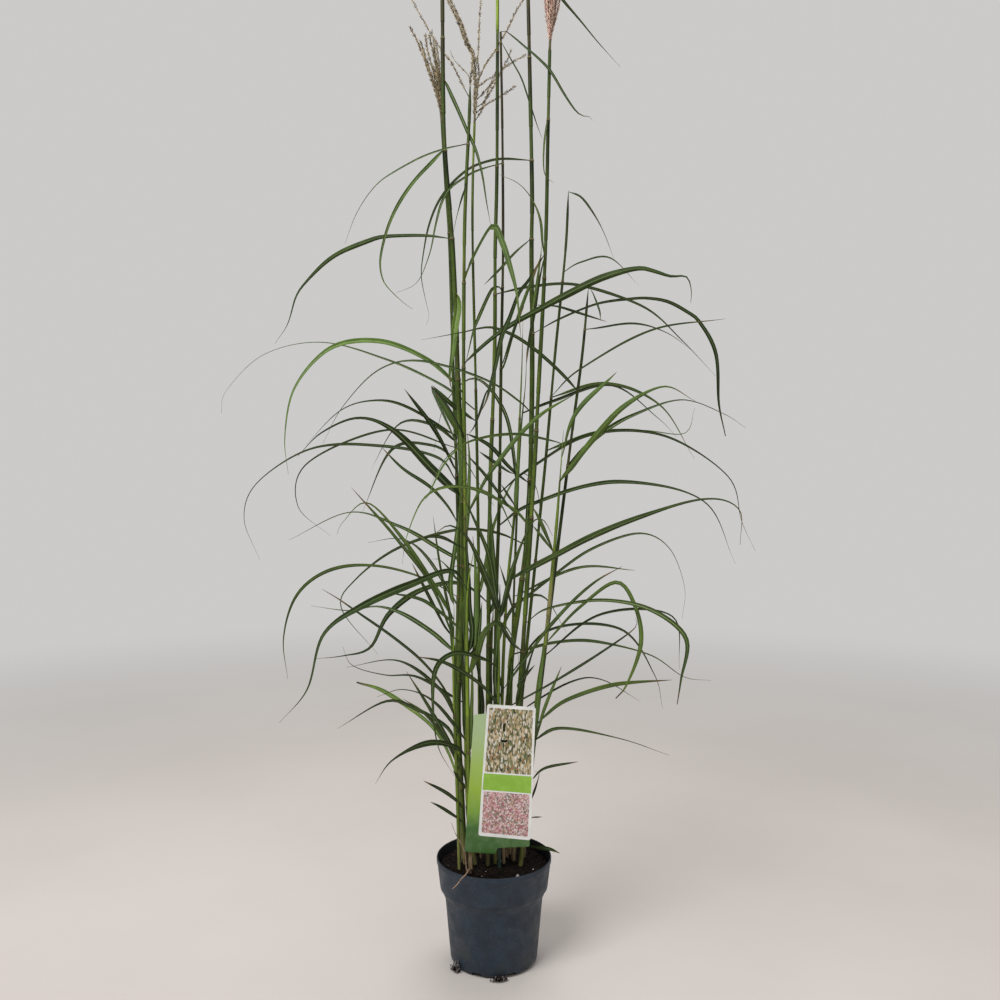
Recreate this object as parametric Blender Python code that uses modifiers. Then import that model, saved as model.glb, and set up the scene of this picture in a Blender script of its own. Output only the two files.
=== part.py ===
"""A potted clump of miscanthus grass, as solids at their real size.

The pot stands on z = 0 with its axis on the Z axis. Lengths are in metres. The plant's lines are drawn in
centimetres as they look from the front: x across and z up, as seen by an eye at EYE. seen() moves such a
point to its real depth, so that it still looks to be in the same place from the front.
"""
import math

import bmesh
import bpy
import numpy as np
from mathutils import Vector

# Driving dimensions.
CM = 0.01
GAP = 0.0003                  # between pieces that touch
EYE = np.array((0.010, -1.490, 0.775))
POT_HEIGHT = 0.170
RIM_RADIUS = 0.095
COLLAR_RADIUS = 0.089         # at the collar's lower edge
COLLAR_BOTTOM = 0.121
SHOULDER_RADIUS = 0.081
SHOULDER_BOTTOM = 0.105
BASE_RADIUS = 0.072
BASE_ROUNDING = 0.008
WALL = 0.0016
POT_SIDES = 28
NOTCH_WIDTH = 0.020
NOTCH_HEIGHT = 0.007
NOTCH_COUNT = 8
SOIL_TOP = 0.158
SOIL_EDGE = 0.153
SOIL_FLAT_RADIUS = 0.068
LABEL_THICKNESS = 0.0009
BLADE_THICKNESS = 0.0007
ROOM = 0.0012                 # least room between blades and stems that pass each other

# A dark plastic, the soil, and the plant's own colours: red, green, blue, roughness.
POT_COLOUR = (0.030, 0.042, 0.055, 0.6)
SOIL_COLOUR = (0.020, 0.013, 0.009, 0.95)
LABEL_COLOUR = (0.45, 0.50, 0.30, 0.4)
STAKE_COLOUR = (0.05, 0.09, 0.07, 0.5)
STEM_COLOUR = (0.10, 0.17, 0.05, 0.5)
LEAF_COLOUR = (0.06, 0.15, 0.03, 0.5)
HEAD_COLOUR = (0.33, 0.22, 0.14, 0.8)

# Stems: name, root (x, y), depth behind the axis at the top, radius at the foot and at the top, line.
STEMS = [
    ("stem_left_tall", (-4.7, -1.0), -3.0, 0.42, 0.26,
     [(-5.5, 30), (-6, 42), (-5.2, 60), (-5.3, 75), (-5.9, 95), (-6.8, 117.3), (-8.2, 136), (-8.5, 160)]),
    ("stem_left_behind", (-5.2, 1.0), 4.0, 0.30, 0.16,
     [(-6.0, 30), (-6.4, 42), (-5.9, 60), (-6.0, 75), (-6.7, 95), (-7.3, 117), (-8.0, 128), (-8.6, 138)]),
    ("stem_left_second", (-3.0, -1.4), -5.0, 0.30, 0.20,
     [(-4.4, 25), (-4.6, 45), (-4.7, 70), (-5.0, 95), (-4.9, 117.3), (-4.6, 128), (-4.1, 138), (-3.9, 145)]),
    ("stem_thin", (-2.2, 1.4), 3.0, 0.22, 0.16,
     [(-2.4, 40), (-2.6, 70), (-3.0, 94.2), (-3.5, 117), (-3.5, 128), (-3.2, 138)]),
    ("stem_centre", (-1.0, -1.6), -1.0, 0.30, 0.20,
     [(-1.0, 40), (-0.7, 75), (0.1, 100), (0.2, 117), (0.5, 131), (0.6, 160)]),
    ("stem_brown", (0.4, 0.6), 1.5, 0.26, 0.15,
     [(0.2, 40), (0.4, 60), (0.9, 77), (1.2, 100), (1.5, 117), (1.4, 136), (1.1, 153)]),
    ("stem_middle", (1.6, -1.0), -4.0, 0.24, 0.12,
     [(1.3, 40), (2.1, 60), (3.5, 75), (4.5, 95), (4.8, 106)]),
    ("stem_middle_short", (2.6, 2.6), 5.0, 0.20, 0.12,
     [(3.0, 50), (4.2, 83), (5.2, 95), (5.4, 101)]),
    ("stem_right_tall", (2.0, 1.7), 1.5, 0.44, 0.26,
     [(2.5, 45), (4.3, 60), (5.7, 73), (6.3, 95), (6.2, 117), (6.3, 126), (6.0, 142), (5.6, 160)]),
    ("stem_right_second", (3.2, 0.2), -5.0, 0.34, 0.20,
     [(3.3, 30), (4.7, 50), (6.5, 78), (7.4, 95), (8.5, 117), (8.9, 136), (9.2, 150)]),
    ("stem_right_thin", (3.6, 3.4), 7.0, 0.20, 0.12,
     [(4.4, 40), (7.3, 70), (8.5, 82), (10.1, 100), (11.8, 117), (12.3, 127)]),
    ("stem_right_outer", (5.0, 1.4), 5.0, 0.22, 0.12,
     [(6.0, 30), (8.6, 52), (10.8, 70), (12.9, 87), (14.6, 100), (15.6, 111)]),
    ("stem_yellow", (4.4, -1.6), -4.0, 0.26, 0.18,
     [(6.6, 36), (7.4, 45), (8.6, 53), (10.2, 70), (10.9, 79), (11.5, 87.5)]),
    ("shoot_left", (-5.6, -3.4), -6.0, 0.26, 0.12,
     [(-6.2, 30), (-6.7, 45), (-6.6, 59)]),
    ("shoot_bright", (-3.8, -3.4), -7.0, 0.36, 0.14,
     [(-4.2, 30), (-4.4, 45), (-4.4, 60), (-3.3, 68)]),
    ("shoot_centre", (0.2, 2.8), 5.0, 0.28, 0.14,
     [(-0.2, 30), (-0.6, 45), (0.0, 59)]),
    ("shoot_front", (0.2, -0.9), -4.5, 0.26, 0.12,
     [(0.4, 30), (0.8, 45), (0.9, 58)]),
]

# Flower heads: name, stem, depth of its tip, line of its middle rib, then its branches, each from a share
# of the rib's length to its tip (x, z) at a depth before or behind the rib.
HEADS = [
    ("flower_head_left_top", "stem_left_tall", -3.5, [(-8.6, 161), (-8.8, 170), (-9.6, 182)],
     [(.10, -13.5, 176, 2), (.15, -5.0, 177, -2), (.25, -11.8, 180, -2), (.3, -6.6, 181, 3),
      (.4, -12.6, 178.5, 4), (.5, -7.6, 182, -4)]),
    ("flower_head_left_narrow", "stem_left_behind", 4.0, [(-8.65, 139), (-9.3, 145), (-10.2, 153.5)],
     [(.08, -13.8, 154, 1), (.1, -12.2, 150.5, -2), (.15, -11.3, 153, 3), (.2, -10.6, 152.5, -3),
      (.12, -8.9, 147, 2), (.22, -9.6, 154, -1.5)]),
    ("flower_head_open", "stem_thin", 3.0, [(-3.15, 139), (-3.0, 144), (-3.2, 149)],
     [(.9, -8.1, 159, -2), (.8, -2.0, 160, 3), (.5, 1.0, 151.5, 2), (.42, 0.4, 146, -3.5),
      (.12, -1.8, 140.2, -1), (.35, -7.4, 149, 4), (.6, -12.5, 156.4, -1.5), (.3, 4.6, 158.5, 4.5)]),
    ("flower_head_centre_top", "stem_centre", -1.0, [(0.65, 161), (0.9, 168), (1.6, 178)],
     [(.1, -3.0, 172, 2), (.15, 4.6, 173, -2), (.3, -1.8, 176.5, -3), (.4, 3.6, 178, 3), (.5, 0.2, 179, 1)]),
    ("flower_head_right_top", "stem_right_tall", 1.5, [(5.6, 161), (5.7, 170), (6.0, 183)],
     [(.1, 1.6, 175, 1), (.12, 9.6, 176, -2), (.2, 3.6, 180, -3), (.3, 8.2, 181, 3), (.45, 4.6, 183, 2)]),
    ("flower_head_brush", "stem_right_second", -5.0, [(9.22, 150.6), (9.5, 158), (9.9, 172)],
     [(.12, 8.3, 168, 1), (.14, 11.2, 168.5, -1), (.2, 8.9, 171, -2), (.25, 10.9, 171, 2),
      (.1, 10.4, 164, 2.5)]),
]

# Leaves that are pieces of their own: name, stem, width, roll in degrees, depth of the tip, line.
LEAVES = [
    ("leaf_left_low_1", "stem_left_second", 0.8, 60, -19,
     [(-4.2, 33), (-6, 34.6), (-9.5, 35.7), (-13, 35), (-17.3, 32.4), (-19.7, 28.8)]),
    ("leaf_left_low_2", "shoot_front", 0.7, 65, -22,
     [(0.5, 48), (-2, 49.5), (-6.5, 50.5), (-9.7, 48), (-10.2, 42), (-9.3, 35), (-6.6, 30.1)]),
    ("leaf_left_low_3", "stem_left_behind", 0.7, 55, 10,
     [(-6.5, 50.5), (-10, 53.8), (-15, 57), (-19.5, 58.3), (-24, 57.6), (-30.3, 58.4)]),
    ("leaf_left_top_4", "stem_right_tall", 0.6, 35, 9,
     [(6.4, 132), (-0.5, 132), (-6.8, 128.5), (-10.8, 121.5), (-12.1, 114), (-11.2, 104.7)]),
    ("leaf_left_middle_1", "shoot_bright", 1.1, 65, -24,
     [(-4.4, 61), (-7.2, 64.2), (-14, 61.9), (-22, 58.3), (-28.3, 53.6), (-31, 44.5), (-35.6, 39)]),
    ("leaf_left_middle_2", "shoot_centre", 0.9, 50, 20,
     [(0.2, 58), (-5.5, 62), (-12, 61), (-17.5, 57), (-20.5, 51.5), (-25, 50.1), (-29.7, 49.6)]),
    ("leaf_left_middle_3", "stem_left_behind", 0.8, 55, 16,
     [(-6.0, 60), (-12, 63.1), (-20, 65.05), (-27.5, 64.2), (-32.8, 60), (-34.9, 53), (-34.2, 46.2)]),
    ("leaf_left_middle_4", "stem_right_tall", 0.8, 50, 16,
     [(5.0, 68.4), (0, 70.5), (-6.5, 70.9), (-16, 67.9), (-23, 62.7), (-25.3, 58), (-19.2, 50.3)]),
    ("leaf_left_middle_5", "shoot_left", 0.8, 60, -14,
     [(-6.6, 56), (-10, 62), (-15.5, 70), (-21, 75.5), (-25, 72.3), (-26, 70.3)]),
    ("leaf_left_upper_1", "stem_left_tall", 0.9, 60, -9,
     [(-5.5, 76.4), (-10, 80.8), (-16.7, 87.5), (-22.5, 89.5), (-28.5, 87.1), (-32.5, 83.2)]),
    ("leaf_left_upper_2", "stem_right_second", 0.8, 45, -15,
     [(7.2, 89.5), (4.2, 92.2), (-1.7, 95.9), (-12, 98.9), (-19, 97.5), (-25, 91.4), (-28.3, 85.3)]),
    ("leaf_left_upper_3", "stem_left_behind", 0.9, 55, 13,
     [(-6.2, 79), (-9.5, 83), (-19, 84.9), (-30, 84.5), (-39, 79), (-41.4, 73), (-38.8, 66)]),
    ("leaf_left_upper_4", "stem_thin", 0.8, 35, 12,
     [(-2.9, 90.8), (-9, 95.1), (-18, 99.2), (-28.5, 102), (-38, 100), (-44.3, 94), (-45.1, 90.3)]),
    ("leaf_left_upper_5", "stem_left_second", 0.9, 55, -17,
     [(-4.9, 93.7), (-11, 99), (-19, 102.1), (-27, 101), (-32.9, 94.6), (-34.6, 86.5), (-34.05, 80.2)]),
    ("leaf_left_upper_6", "stem_left_second", 0.8, 60, -27,
     [(-4.6, 86), (-7.5, 91), (-10.3, 94.3), (-8.5, 90), (-4.5, 82), (0, 75)]),
    ("leaf_left_front", "stem_middle", 0.8, 65, -26,
     [(2.9, 71.0), (0, 76.4), (-6.5, 78.2), (-11.5, 76.3), (-14.4, 70), (-15.2, 65.3)]),
    ("leaf_left_top_1", "stem_left_tall", 0.9, 50, 4,
     [(-6.9, 119), (-15, 119.6), (-22, 118.4), (-29, 114.5), (-33.6, 108), (-36.2, 101.8)]),
    ("leaf_left_top_2", "stem_left_tall", 0.7, 50, -13,
     [(-8, 133.6), (-11.6, 130.8), (-16.8, 123.4), (-19, 114.5), (-16.5, 110), (-13.5, 107.5)]),
    ("leaf_left_top_3", "stem_left_second", 0.6, 40, -8,
     [(-4.3, 134.7), (-11.6, 132.5), (-19, 128.1), (-23.1, 122.5), (-24.9, 116.5)]),
    ("leaf_right_top_1", "stem_left_second", 1.2, 60, -20,
     [(-5, 98.3), (-1, 102), (6.4, 107.3), (15.6, 111.9), (24, 114.3), (30, 113), (32.6, 108.8)]),
    ("leaf_right_top_2", "stem_centre", 0.8, 40, 10,
     [(0.3, 110), (6.5, 111.2), (14, 111.4), (24.8, 107.8), (31, 102.4), (36.7, 96.4)]),
    ("leaf_right_top_3", "stem_right_tall", 0.9, 50, 11,
     [(6.3, 103.3), (12.3, 106.8), (24.8, 109.4), (32, 107), (37.2, 98.5), (38.3, 86.5)]),
    ("leaf_front_fold", "stem_left_second", 0.9, 70, -24,
     [(-5.0, 111.5), (-2.1, 118.4), (0.3, 121.2), (2.9, 115.5), (4.2, 107.6), (4.5, 102.7)]),
    ("leaf_right_middle_1", "stem_brown", 0.8, 45, 8,
     [(0.9, 77.3), (5.8, 81), (16, 86.7), (28, 86.6), (38.7, 79.9), (41, 72.5), (43.3, 67.5)]),
    ("leaf_right_middle_2", "stem_yellow", 1.0, 60, -17,
     [(11.0, 79), (15, 84.3), (21, 91), (28, 94.7), (33.3, 92.3)]),
    ("leaf_right_middle_3", "stem_right_outer", 0.8, 35, 15,
     [(12.1, 81.6), (17.5, 86.6), (23, 89.9), (31, 92.5), (38, 90.2), (41.6, 87.9)]),
    ("leaf_right_middle_4", "stem_middle", 1.1, 55, -12,
     [(2.5, 62.5), (9.2, 66.2), (20, 71.5), (34, 76), (40.5, 74.5), (40.8, 68.5)]),
    ("leaf_right_middle_5", "stem_middle_short", 0.7, 40, 20,
     [(3.8, 58.2), (9.4, 63), (16, 67.7), (24, 70.4), (29, 68), (31.6, 61.5), (31.2, 56.2)]),
    ("leaf_right_low_1", "stem_right_second", 0.8, 50, -20,
     [(4.9, 55.7), (9, 58), (18, 59.3), (26, 57.7), (31.8, 53), (31, 46), (30.4, 42)]),
    ("leaf_right_low_2", "stem_yellow", 0.7, 65, -16,
     [(8.4, 52.2), (14, 58), (20.2, 62.3), (23.4, 58.2), (24.3, 52), (22, 45.3), (20.2, 43)]),
    ("leaf_right_low_3", "stem_yellow", 0.8, 50, -12,
     [(6.8, 38.8), (12, 42.6), (20, 45.2), (29.5, 46.1)]),
]

# Smaller leaves, fused to the stem that they grow from: stem, width, roll, depth of the tip, line.
SMALL_LEAVES = [
    ("stem_middle_short", 0.7, 40, 13, [(3.3, 50.2), (10, 52.2), (17, 52.4), (26, 50.2), (31.5, 46.6), (36, 46)]),
    ("stem_thin", 0.7, 40, 4, [(-4.8, 64.6), (-10, 68.4), (-16, 71.7), (-24, 73.9), (-34, 69.3)]),
    ("stem_left_behind", 0.5, 40, 12, [(-5.4, 29.5), (-10, 38), (-18, 44), (-22.8, 45.7)]),
    ("shoot_left", 0.5, 50, -14, [(-5.7, 40), (-9.5, 45), (-16, 49.3), (-24.5, 48.2)]),
    ("shoot_bright", 0.5, 50, -14, [(-4.5, 53.7), (-9.5, 57.8), (-12.5, 59.6), (-17.6, 60.6)]),
    ("shoot_left", 0.5, 60, -17, [(-6.6, 53), (-10.5, 62), (-16.5, 70), (-23.6, 78)]),
    ("stem_left_behind", 0.5, 40, 8, [(-5.9, 58.3), (-11.3, 66.7), (-15.5, 69.5), (-20.9, 68.9)]),
    ("shoot_front", 0.9, 70, -19, [(0.9, 57), (-1.8, 64.5), (-5, 70.5), (-8, 71.6), (-10.3, 69.9)]),
    ("shoot_front", 0.9, 70, -13, [(0.9, 56), (3.6, 66.3), (7.0, 72.8), (9.7, 70)]),
    ("stem_left_behind", 0.6, 35, 18, [(-6.3, 84.5), (-17.5, 87.5), (-30.8, 82.1), (-32.5, 75), (-27, 69.9)]),
    ("stem_left_behind", 0.5, 45, 15, [(-5.6, 82.5), (-10.5, 85), (-17, 84.2), (-21.8, 74)]),
    ("stem_left_behind", 0.6, 55, 3, [(-5.4, 72), (-10, 77.6), (-15, 81.1), (-18.8, 84.9)]),
    ("stem_left_behind", 0.8, 60, -9, [(-6.1, 80.5), (-9.5, 87.2), (-14.8, 94.3)]),
    ("stem_thin", 0.7, 60, -12, [(-2.7, 75.5), (1, 82.5), (8, 90.2), (13.5, 93.5)]),
    ("stem_yellow", 0.6, 60, -24, [(11.3, 85.1), (3, 86.7), (-5.5, 84.7), (-10.8, 77.7)]),
    ("stem_left_behind", 0.7, 50, 5, [(-5.4, 35), (-8, 38.3), (-13, 41.2), (-18, 42.5), (-26, 38)]),
    ("stem_brown", 0.6, 40, -12, [(1.4, 131.2), (-5, 129.2), (-10, 120), (-12.3, 113.3), (-16.1, 110.4)]),
    ("stem_brown", 0.6, 50, -9, [(1.2, 152.5), (6, 150.7), (10, 146.2), (16.3, 139)]),
    ("stem_right_outer", 0.5, 35, 10, [(15.4, 104), (23, 105.1), (28.5, 103.6), (32.8, 100.6)]),
    ("stem_right_thin", 0.6, 40, -4, [(9.2, 93.2), (14.3, 97.6), (26, 104), (38.3, 105.9)]),
    ("stem_right_thin", 0.5, 50, -3, [(11.3, 113.6), (14.5, 115.2), (19.2, 115.9), (24, 111.3)]),
    ("stem_right_thin", 0.5, 50, 12, [(12.3, 126.5), (14.6, 125.6), (18.6, 120), (19.9, 115.8)]),
    ("stem_brown", 0.8, 55, -18, [(1.4, 97), (3.8, 106), (7.9, 116.5)]),
    ("stem_right_outer", 0.5, 45, -6, [(13.9, 94), (6.8, 100.7), (-1.5, 104.4), (-12.2, 102.4)]),
    ("stem_middle_short", 0.6, 40, 17, [(4.8, 90.2), (10, 92.3), (19.5, 94.9), (27, 89.6), (30.2, 86.4)]),
    ("stem_right_thin", 0.6, 45, 18, [(8.7, 84), (17, 87.1), (25, 87.4), (31.6, 87), (33.2, 91.2)]),
    ("stem_right_thin", 0.5, 40, 10, [(9.3, 92.8), (18.5, 95.2), (27.5, 91.6), (33.2, 82.7)]),
    ("stem_yellow", 0.6, 60, -9, [(11.2, 83), (13.5, 90.3), (20.3, 97.1)]),
    ("stem_brown", 0.7, 45, -6, [(0.7, 71.8), (6.5, 75.3), (20, 78.9), (34.5, 75.9), (40, 65.4)]),
    ("stem_middle_short", 0.5, 40, 8, [(3.4, 60.0), (14, 64.7), (23.4, 64.3)]),
    ("stem_right_outer", 0.6, 40, 17, [(8.4, 50.2), (18, 57), (29.5, 56.7), (30.8, 47.8)]),
    ("stem_middle", 0.5, 60, -9, [(1.5, 44.5), (9.5, 55.3), (16, 61.8), (21.3, 65)]),
    ("stem_middle_short", 0.6, 40, 14, [(2.9, 47.3), (9.5, 54.4), (21, 54.5), (26.6, 47), (28, 41.3)]),
    ("stem_middle", 0.6, 55, -24, [(1.3, 41.0), (12, 47), (22.8, 54.2), (23.4, 56.5)]),
    ("stem_right_thin", 0.5, 40, 16, [(4.4, 41), (13, 45.8), (18, 46.1), (24.3, 42.5)]),
    ("stem_yellow", 0.5, 50, -20, [(6.4, 36), (11, 38), (21, 36.3), (29, 33.6)]),
    ("stem_thin", 0.7, 45, 22, [(-2.5, 60), (0, 72), (4, 80), (7, 78), (8, 70)]),
    ("stem_middle_short", 0.7, 45, 26, [(4.1, 78), (2, 90), (-3, 96), (-8, 92), (-10, 84)]),
    ("shoot_centre", 0.7, 45, 24, [(-0.4, 50), (3, 58), (8, 60), (12, 54)]),
]


def seen(x, z, depth):
    """The real place, in metres, of a point that looks to be at x, z from the front."""
    flat = np.array((x, 0.0, z)) * CM
    return EYE + (flat - EYE) * (1.0 - depth * CM / EYE[1])


def smooth(points, count):
    """Evenly spaced points on a smooth line through the given points."""
    line = np.array(points, dtype=float)
    ends = np.vstack((2 * line[0] - line[1], line, 2 * line[-1] - line[-2]))
    fine = []
    for a, b, c, d in zip(ends, ends[1:], ends[2:], ends[3:]):
        for step in range(16):
            t = step / 16
            fine.append(0.5 * (2 * b + (c - a) * t + (2 * a - 5 * b + 4 * c - d) * t ** 2
                               + (3 * b - a - 3 * c + d) * t ** 3))
    fine = np.array(fine + [line[-1]])
    along = np.concatenate(([0], np.cumsum(np.linalg.norm(np.diff(fine, axis=0), axis=1))))
    wanted = np.linspace(0, along[-1], count)
    return np.column_stack([np.interp(wanted, along, fine[:, k]) for k in range(line.shape[1])])


def unit(vector):
    """The same direction with a length of one."""
    return vector / np.linalg.norm(vector)


def new_object(name, mesh, colour, parts):
    """An object with its own material, linked to the collection of parts."""
    material = bpy.data.materials.new(name)
    material.use_nodes = True
    shader = material.node_tree.nodes["Principled BSDF"]
    shader.inputs["Base Color"].default_value = (*colour[:3], 1.0)
    shader.inputs["Roughness"].default_value = colour[3]
    mesh.materials.append(material)
    thing = bpy.data.objects.new(name, mesh)
    parts.objects.link(thing)
    return thing


def loft(name, sections):
    """One closed mesh through sections that have the same number of points each."""
    shape = bmesh.new()
    rings = [[shape.verts.new(point) for point in section] for section in sections]
    sides = len(rings[0])
    for low, high in zip(rings, rings[1:]):
        for side in range(sides):
            after = (side + 1) % sides
            shape.faces.new((low[side], low[after], high[after], high[side]))
    shape.faces.new(rings[0][::-1])
    shape.faces.new(rings[-1])
    bmesh.ops.recalc_face_normals(shape, faces=shape.faces)
    mesh = bpy.data.meshes.new(name)
    shape.to_mesh(mesh)
    shape.free()
    return mesh


def turned(name, profile, steps, colour, parts):
    """A closed turned shape, from a profile of radius and height that runs down its outer side."""
    mesh = bpy.data.meshes.new(name)
    edges = [(i, i + 1) for i in range(len(profile) - 1)]
    mesh.from_pydata([(radius, 0.0, height) for radius, height in profile], edges, [])
    thing = new_object(name, mesh, colour, parts)
    screw = thing.modifiers.new("turn", "SCREW")
    screw.steps = steps
    screw.render_steps = steps
    screw.use_merge_vertices = True
    screw.merge_threshold = 0.00001
    return thing


def tube(name, line, radii, sides, level_foot=False):
    """A closed tube along a line, with its own radius at each point, and a level foot if it is wanted."""
    sections = []
    forward = np.gradient(line, axis=0)
    for place, ahead, radius in zip(line, forward, radii):
        across = unit(np.cross(ahead, (0.0, 1.0, 0.0)))
        out = unit(np.cross(across, ahead))
        turns = [2 * math.pi * side / sides for side in range(sides)]
        sections.append([place + radius * (math.cos(a) * across + math.sin(a) * out) for a in turns])
    if level_foot:
        sections[0] = [np.array((point[0], point[1], line[0][2])) for point in sections[0]]
    return loft(name, sections)


def cut(thing, name, mesh, cutters):
    """Cut a shape out of a piece."""
    cutter = bpy.data.objects.new(name, mesh)
    cutters.objects.link(cutter)
    cutter.hide_render = True
    cutter.display_type = "WIRE"
    boolean = thing.modifiers.new(name, "BOOLEAN")
    boolean.operation = "DIFFERENCE"
    boolean.solver = "EXACT"
    boolean.object = cutter


def fuse(thing, meshes):
    """Join shapes that grow from a piece to it, as one body."""
    for mesh in meshes:
        twig = bpy.data.objects.new("twig", mesh)
        bpy.context.scene.collection.objects.link(twig)
        boolean = thing.modifiers.new("grow", "BOOLEAN")
        boolean.operation = "UNION"
        boolean.solver = "EXACT"
        boolean.object = twig
        bpy.context.view_layer.objects.active = thing
        bpy.ops.object.modifier_apply(modifier=boolean.name)
        bpy.data.objects.remove(twig)
        bpy.data.meshes.remove(mesh)


def stem_line(root, depth_top, line, count):
    """A stem's middle line, from the soil up, with its depth going evenly from its root to its top."""
    foot = np.array((root[0] * CM, root[1] * CM, SOIL_TOP + GAP))
    scale = EYE[1] / (EYE[1] - foot[1])
    flat = EYE + (foot - EYE) * scale
    places = smooth([(flat[0] / CM, flat[2] / CM)] + list(line), count)
    share = (places[:, 1] - places[0, 1]) / (places[-1, 1] - places[0, 1])
    return np.array([seen(x, z, root[1] + (depth_top - root[1]) * s) for (x, z), s in zip(places, share)])


class Stem:
    """A stem's line and radius, which its leaves and its flower head grow from."""

    def __init__(self, name, root, depth_top, foot_radius, top_radius, line):
        self.name = name
        self.line = stem_line(root, depth_top, line, len(line) + 4)
        spots = np.arange(len(self.line))
        wanted = np.linspace(0, spots[-1], 300)
        self.fine = np.column_stack([np.interp(wanted, spots, self.line[:, k]) for k in range(3)])
        self.radii = (foot_radius, top_radius)

    def radius_at(self, height):
        """The radius in metres at a height in metres."""
        low, high = self.fine[0, 2], self.fine[-1, 2]
        share = (height - low) / (high - low)
        return CM * (self.radii[0] + (self.radii[1] - self.radii[0]) * min(max(share, 0.0), 1.0))

    def nearest(self, x, z):
        """The place on the stem's line that looks to be at height z from the front."""
        views = self.fine[:, 2]
        depths = self.fine[:, 1]
        flat = EYE[2] + (views - EYE[2]) * EYE[1] / (EYE[1] - depths)
        return self.fine[int(np.argmin(abs(flat - z * CM)))]


def leaf_line(stem, line, depth_tip, count):
    """A leaf's middle line: off the stem's skin, then out to its tip with a depth that eases out."""
    start = stem.nearest(*line[0])
    depth_start = start[1] / CM
    flat = smooth(line, count)
    out = np.array([seen(x, z, 0.0) for x, z in flat])
    shares = np.linspace(0, 1, count)
    depths = depth_start + (depth_tip - depth_start) * (1 - (1 - shares) ** 1.6)
    out = np.array([seen(x, z, depth) for (x, z), depth in zip(flat, depths)])
    later = out[max(1, count // 6)] - start
    away = unit(np.array((later[0], later[1], 0.0)))
    foot = start + away * (stem.radius_at(start[2]) + GAP + BLADE_THICKNESS)
    fade = np.clip(1 - shares / 0.22, 0, 1)[:, None] ** 2
    return out + (foot - out[0]) * fade


def blade_width(share):
    """A blade's width as a share of its widest, from its foot to its tip."""
    return max(0.03, min(1.0, 0.45 + 3.2 * share) * (1 - share ** 2.6))


def clear_of(line, halves, own, others):
    """Whether a blade keeps clear of everything that is already in place."""
    for name, places, sizes in others:
        first = 0
        if name == own:
            first = len(line) // 6
        low, high = line.min(axis=0) - 0.02, line.max(axis=0) + 0.02
        close = ((places > low) & (places < high)).all(axis=1)
        if not close.any():
            continue
        apart = np.linalg.norm(line[first:, None] - places[None, close], axis=2)
        if (apart - halves[first:, None] - sizes[None, close]).min() < ROOM:
            return False
    return True


def settle(stem, width, depth_tip, line, others):
    """A blade's line at the depth nearest to the wanted one where it has room."""
    halves = np.array([0.5 * width * CM * blade_width(share) for share in np.linspace(0, 1, 90)])
    for step in (0, 1, -1, 2, -2, 3, -3, 4, -4, 5, -5, 6, -6, 7, -7, 8, -8, 9, -9):
        depth = depth_tip + 1.5 * step
        fine = leaf_line(stem, line, depth, 90)
        if clear_of(fine, halves, stem.name, others):
            break
    else:
        print("no room for a leaf of", stem.name, line[0])
        depth = depth_tip
        fine = leaf_line(stem, line, depth, 90)
    others.append((stem.name + " leaf", fine, halves))
    return depth


def blade(name, stem, width, roll, depth_tip, line, others, sink):
    """A leaf: a thin blade of four sides, flat to its stem at its foot and rolled to show its face."""
    depth = settle(stem, width, depth_tip, line, others)
    count = len(line) + 3
    middle = leaf_line(stem, line, depth, count)
    if sink:
        start = stem.nearest(*line[0])
        middle = np.vstack((start, middle))
    forward = np.gradient(middle, axis=0)
    shares = np.linspace(0, 1, len(middle))
    sections = []
    reach = middle[-1] - middle[0]
    across = unit(np.array((reach[1], -reach[0], 0.0))) * math.copysign(1.0, reach[0])
    for place, ahead, share in zip(middle, forward, shares):
        ahead = unit(ahead)
        across = unit(across - np.dot(across, ahead) * ahead)
        up = np.cross(across, ahead)
        turn = math.radians(roll) * min(1.0, share / 0.3)
        side = math.cos(turn) * across + math.sin(turn) * up
        face = unit(np.cross(ahead, side))
        half = 0.5 * width * CM * blade_width(share)
        thick = 0.5 * BLADE_THICKNESS
        sections.append([place - half * side, place - thick * face, place + half * side, place + thick * face])
    return loft(name, sections)


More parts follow.
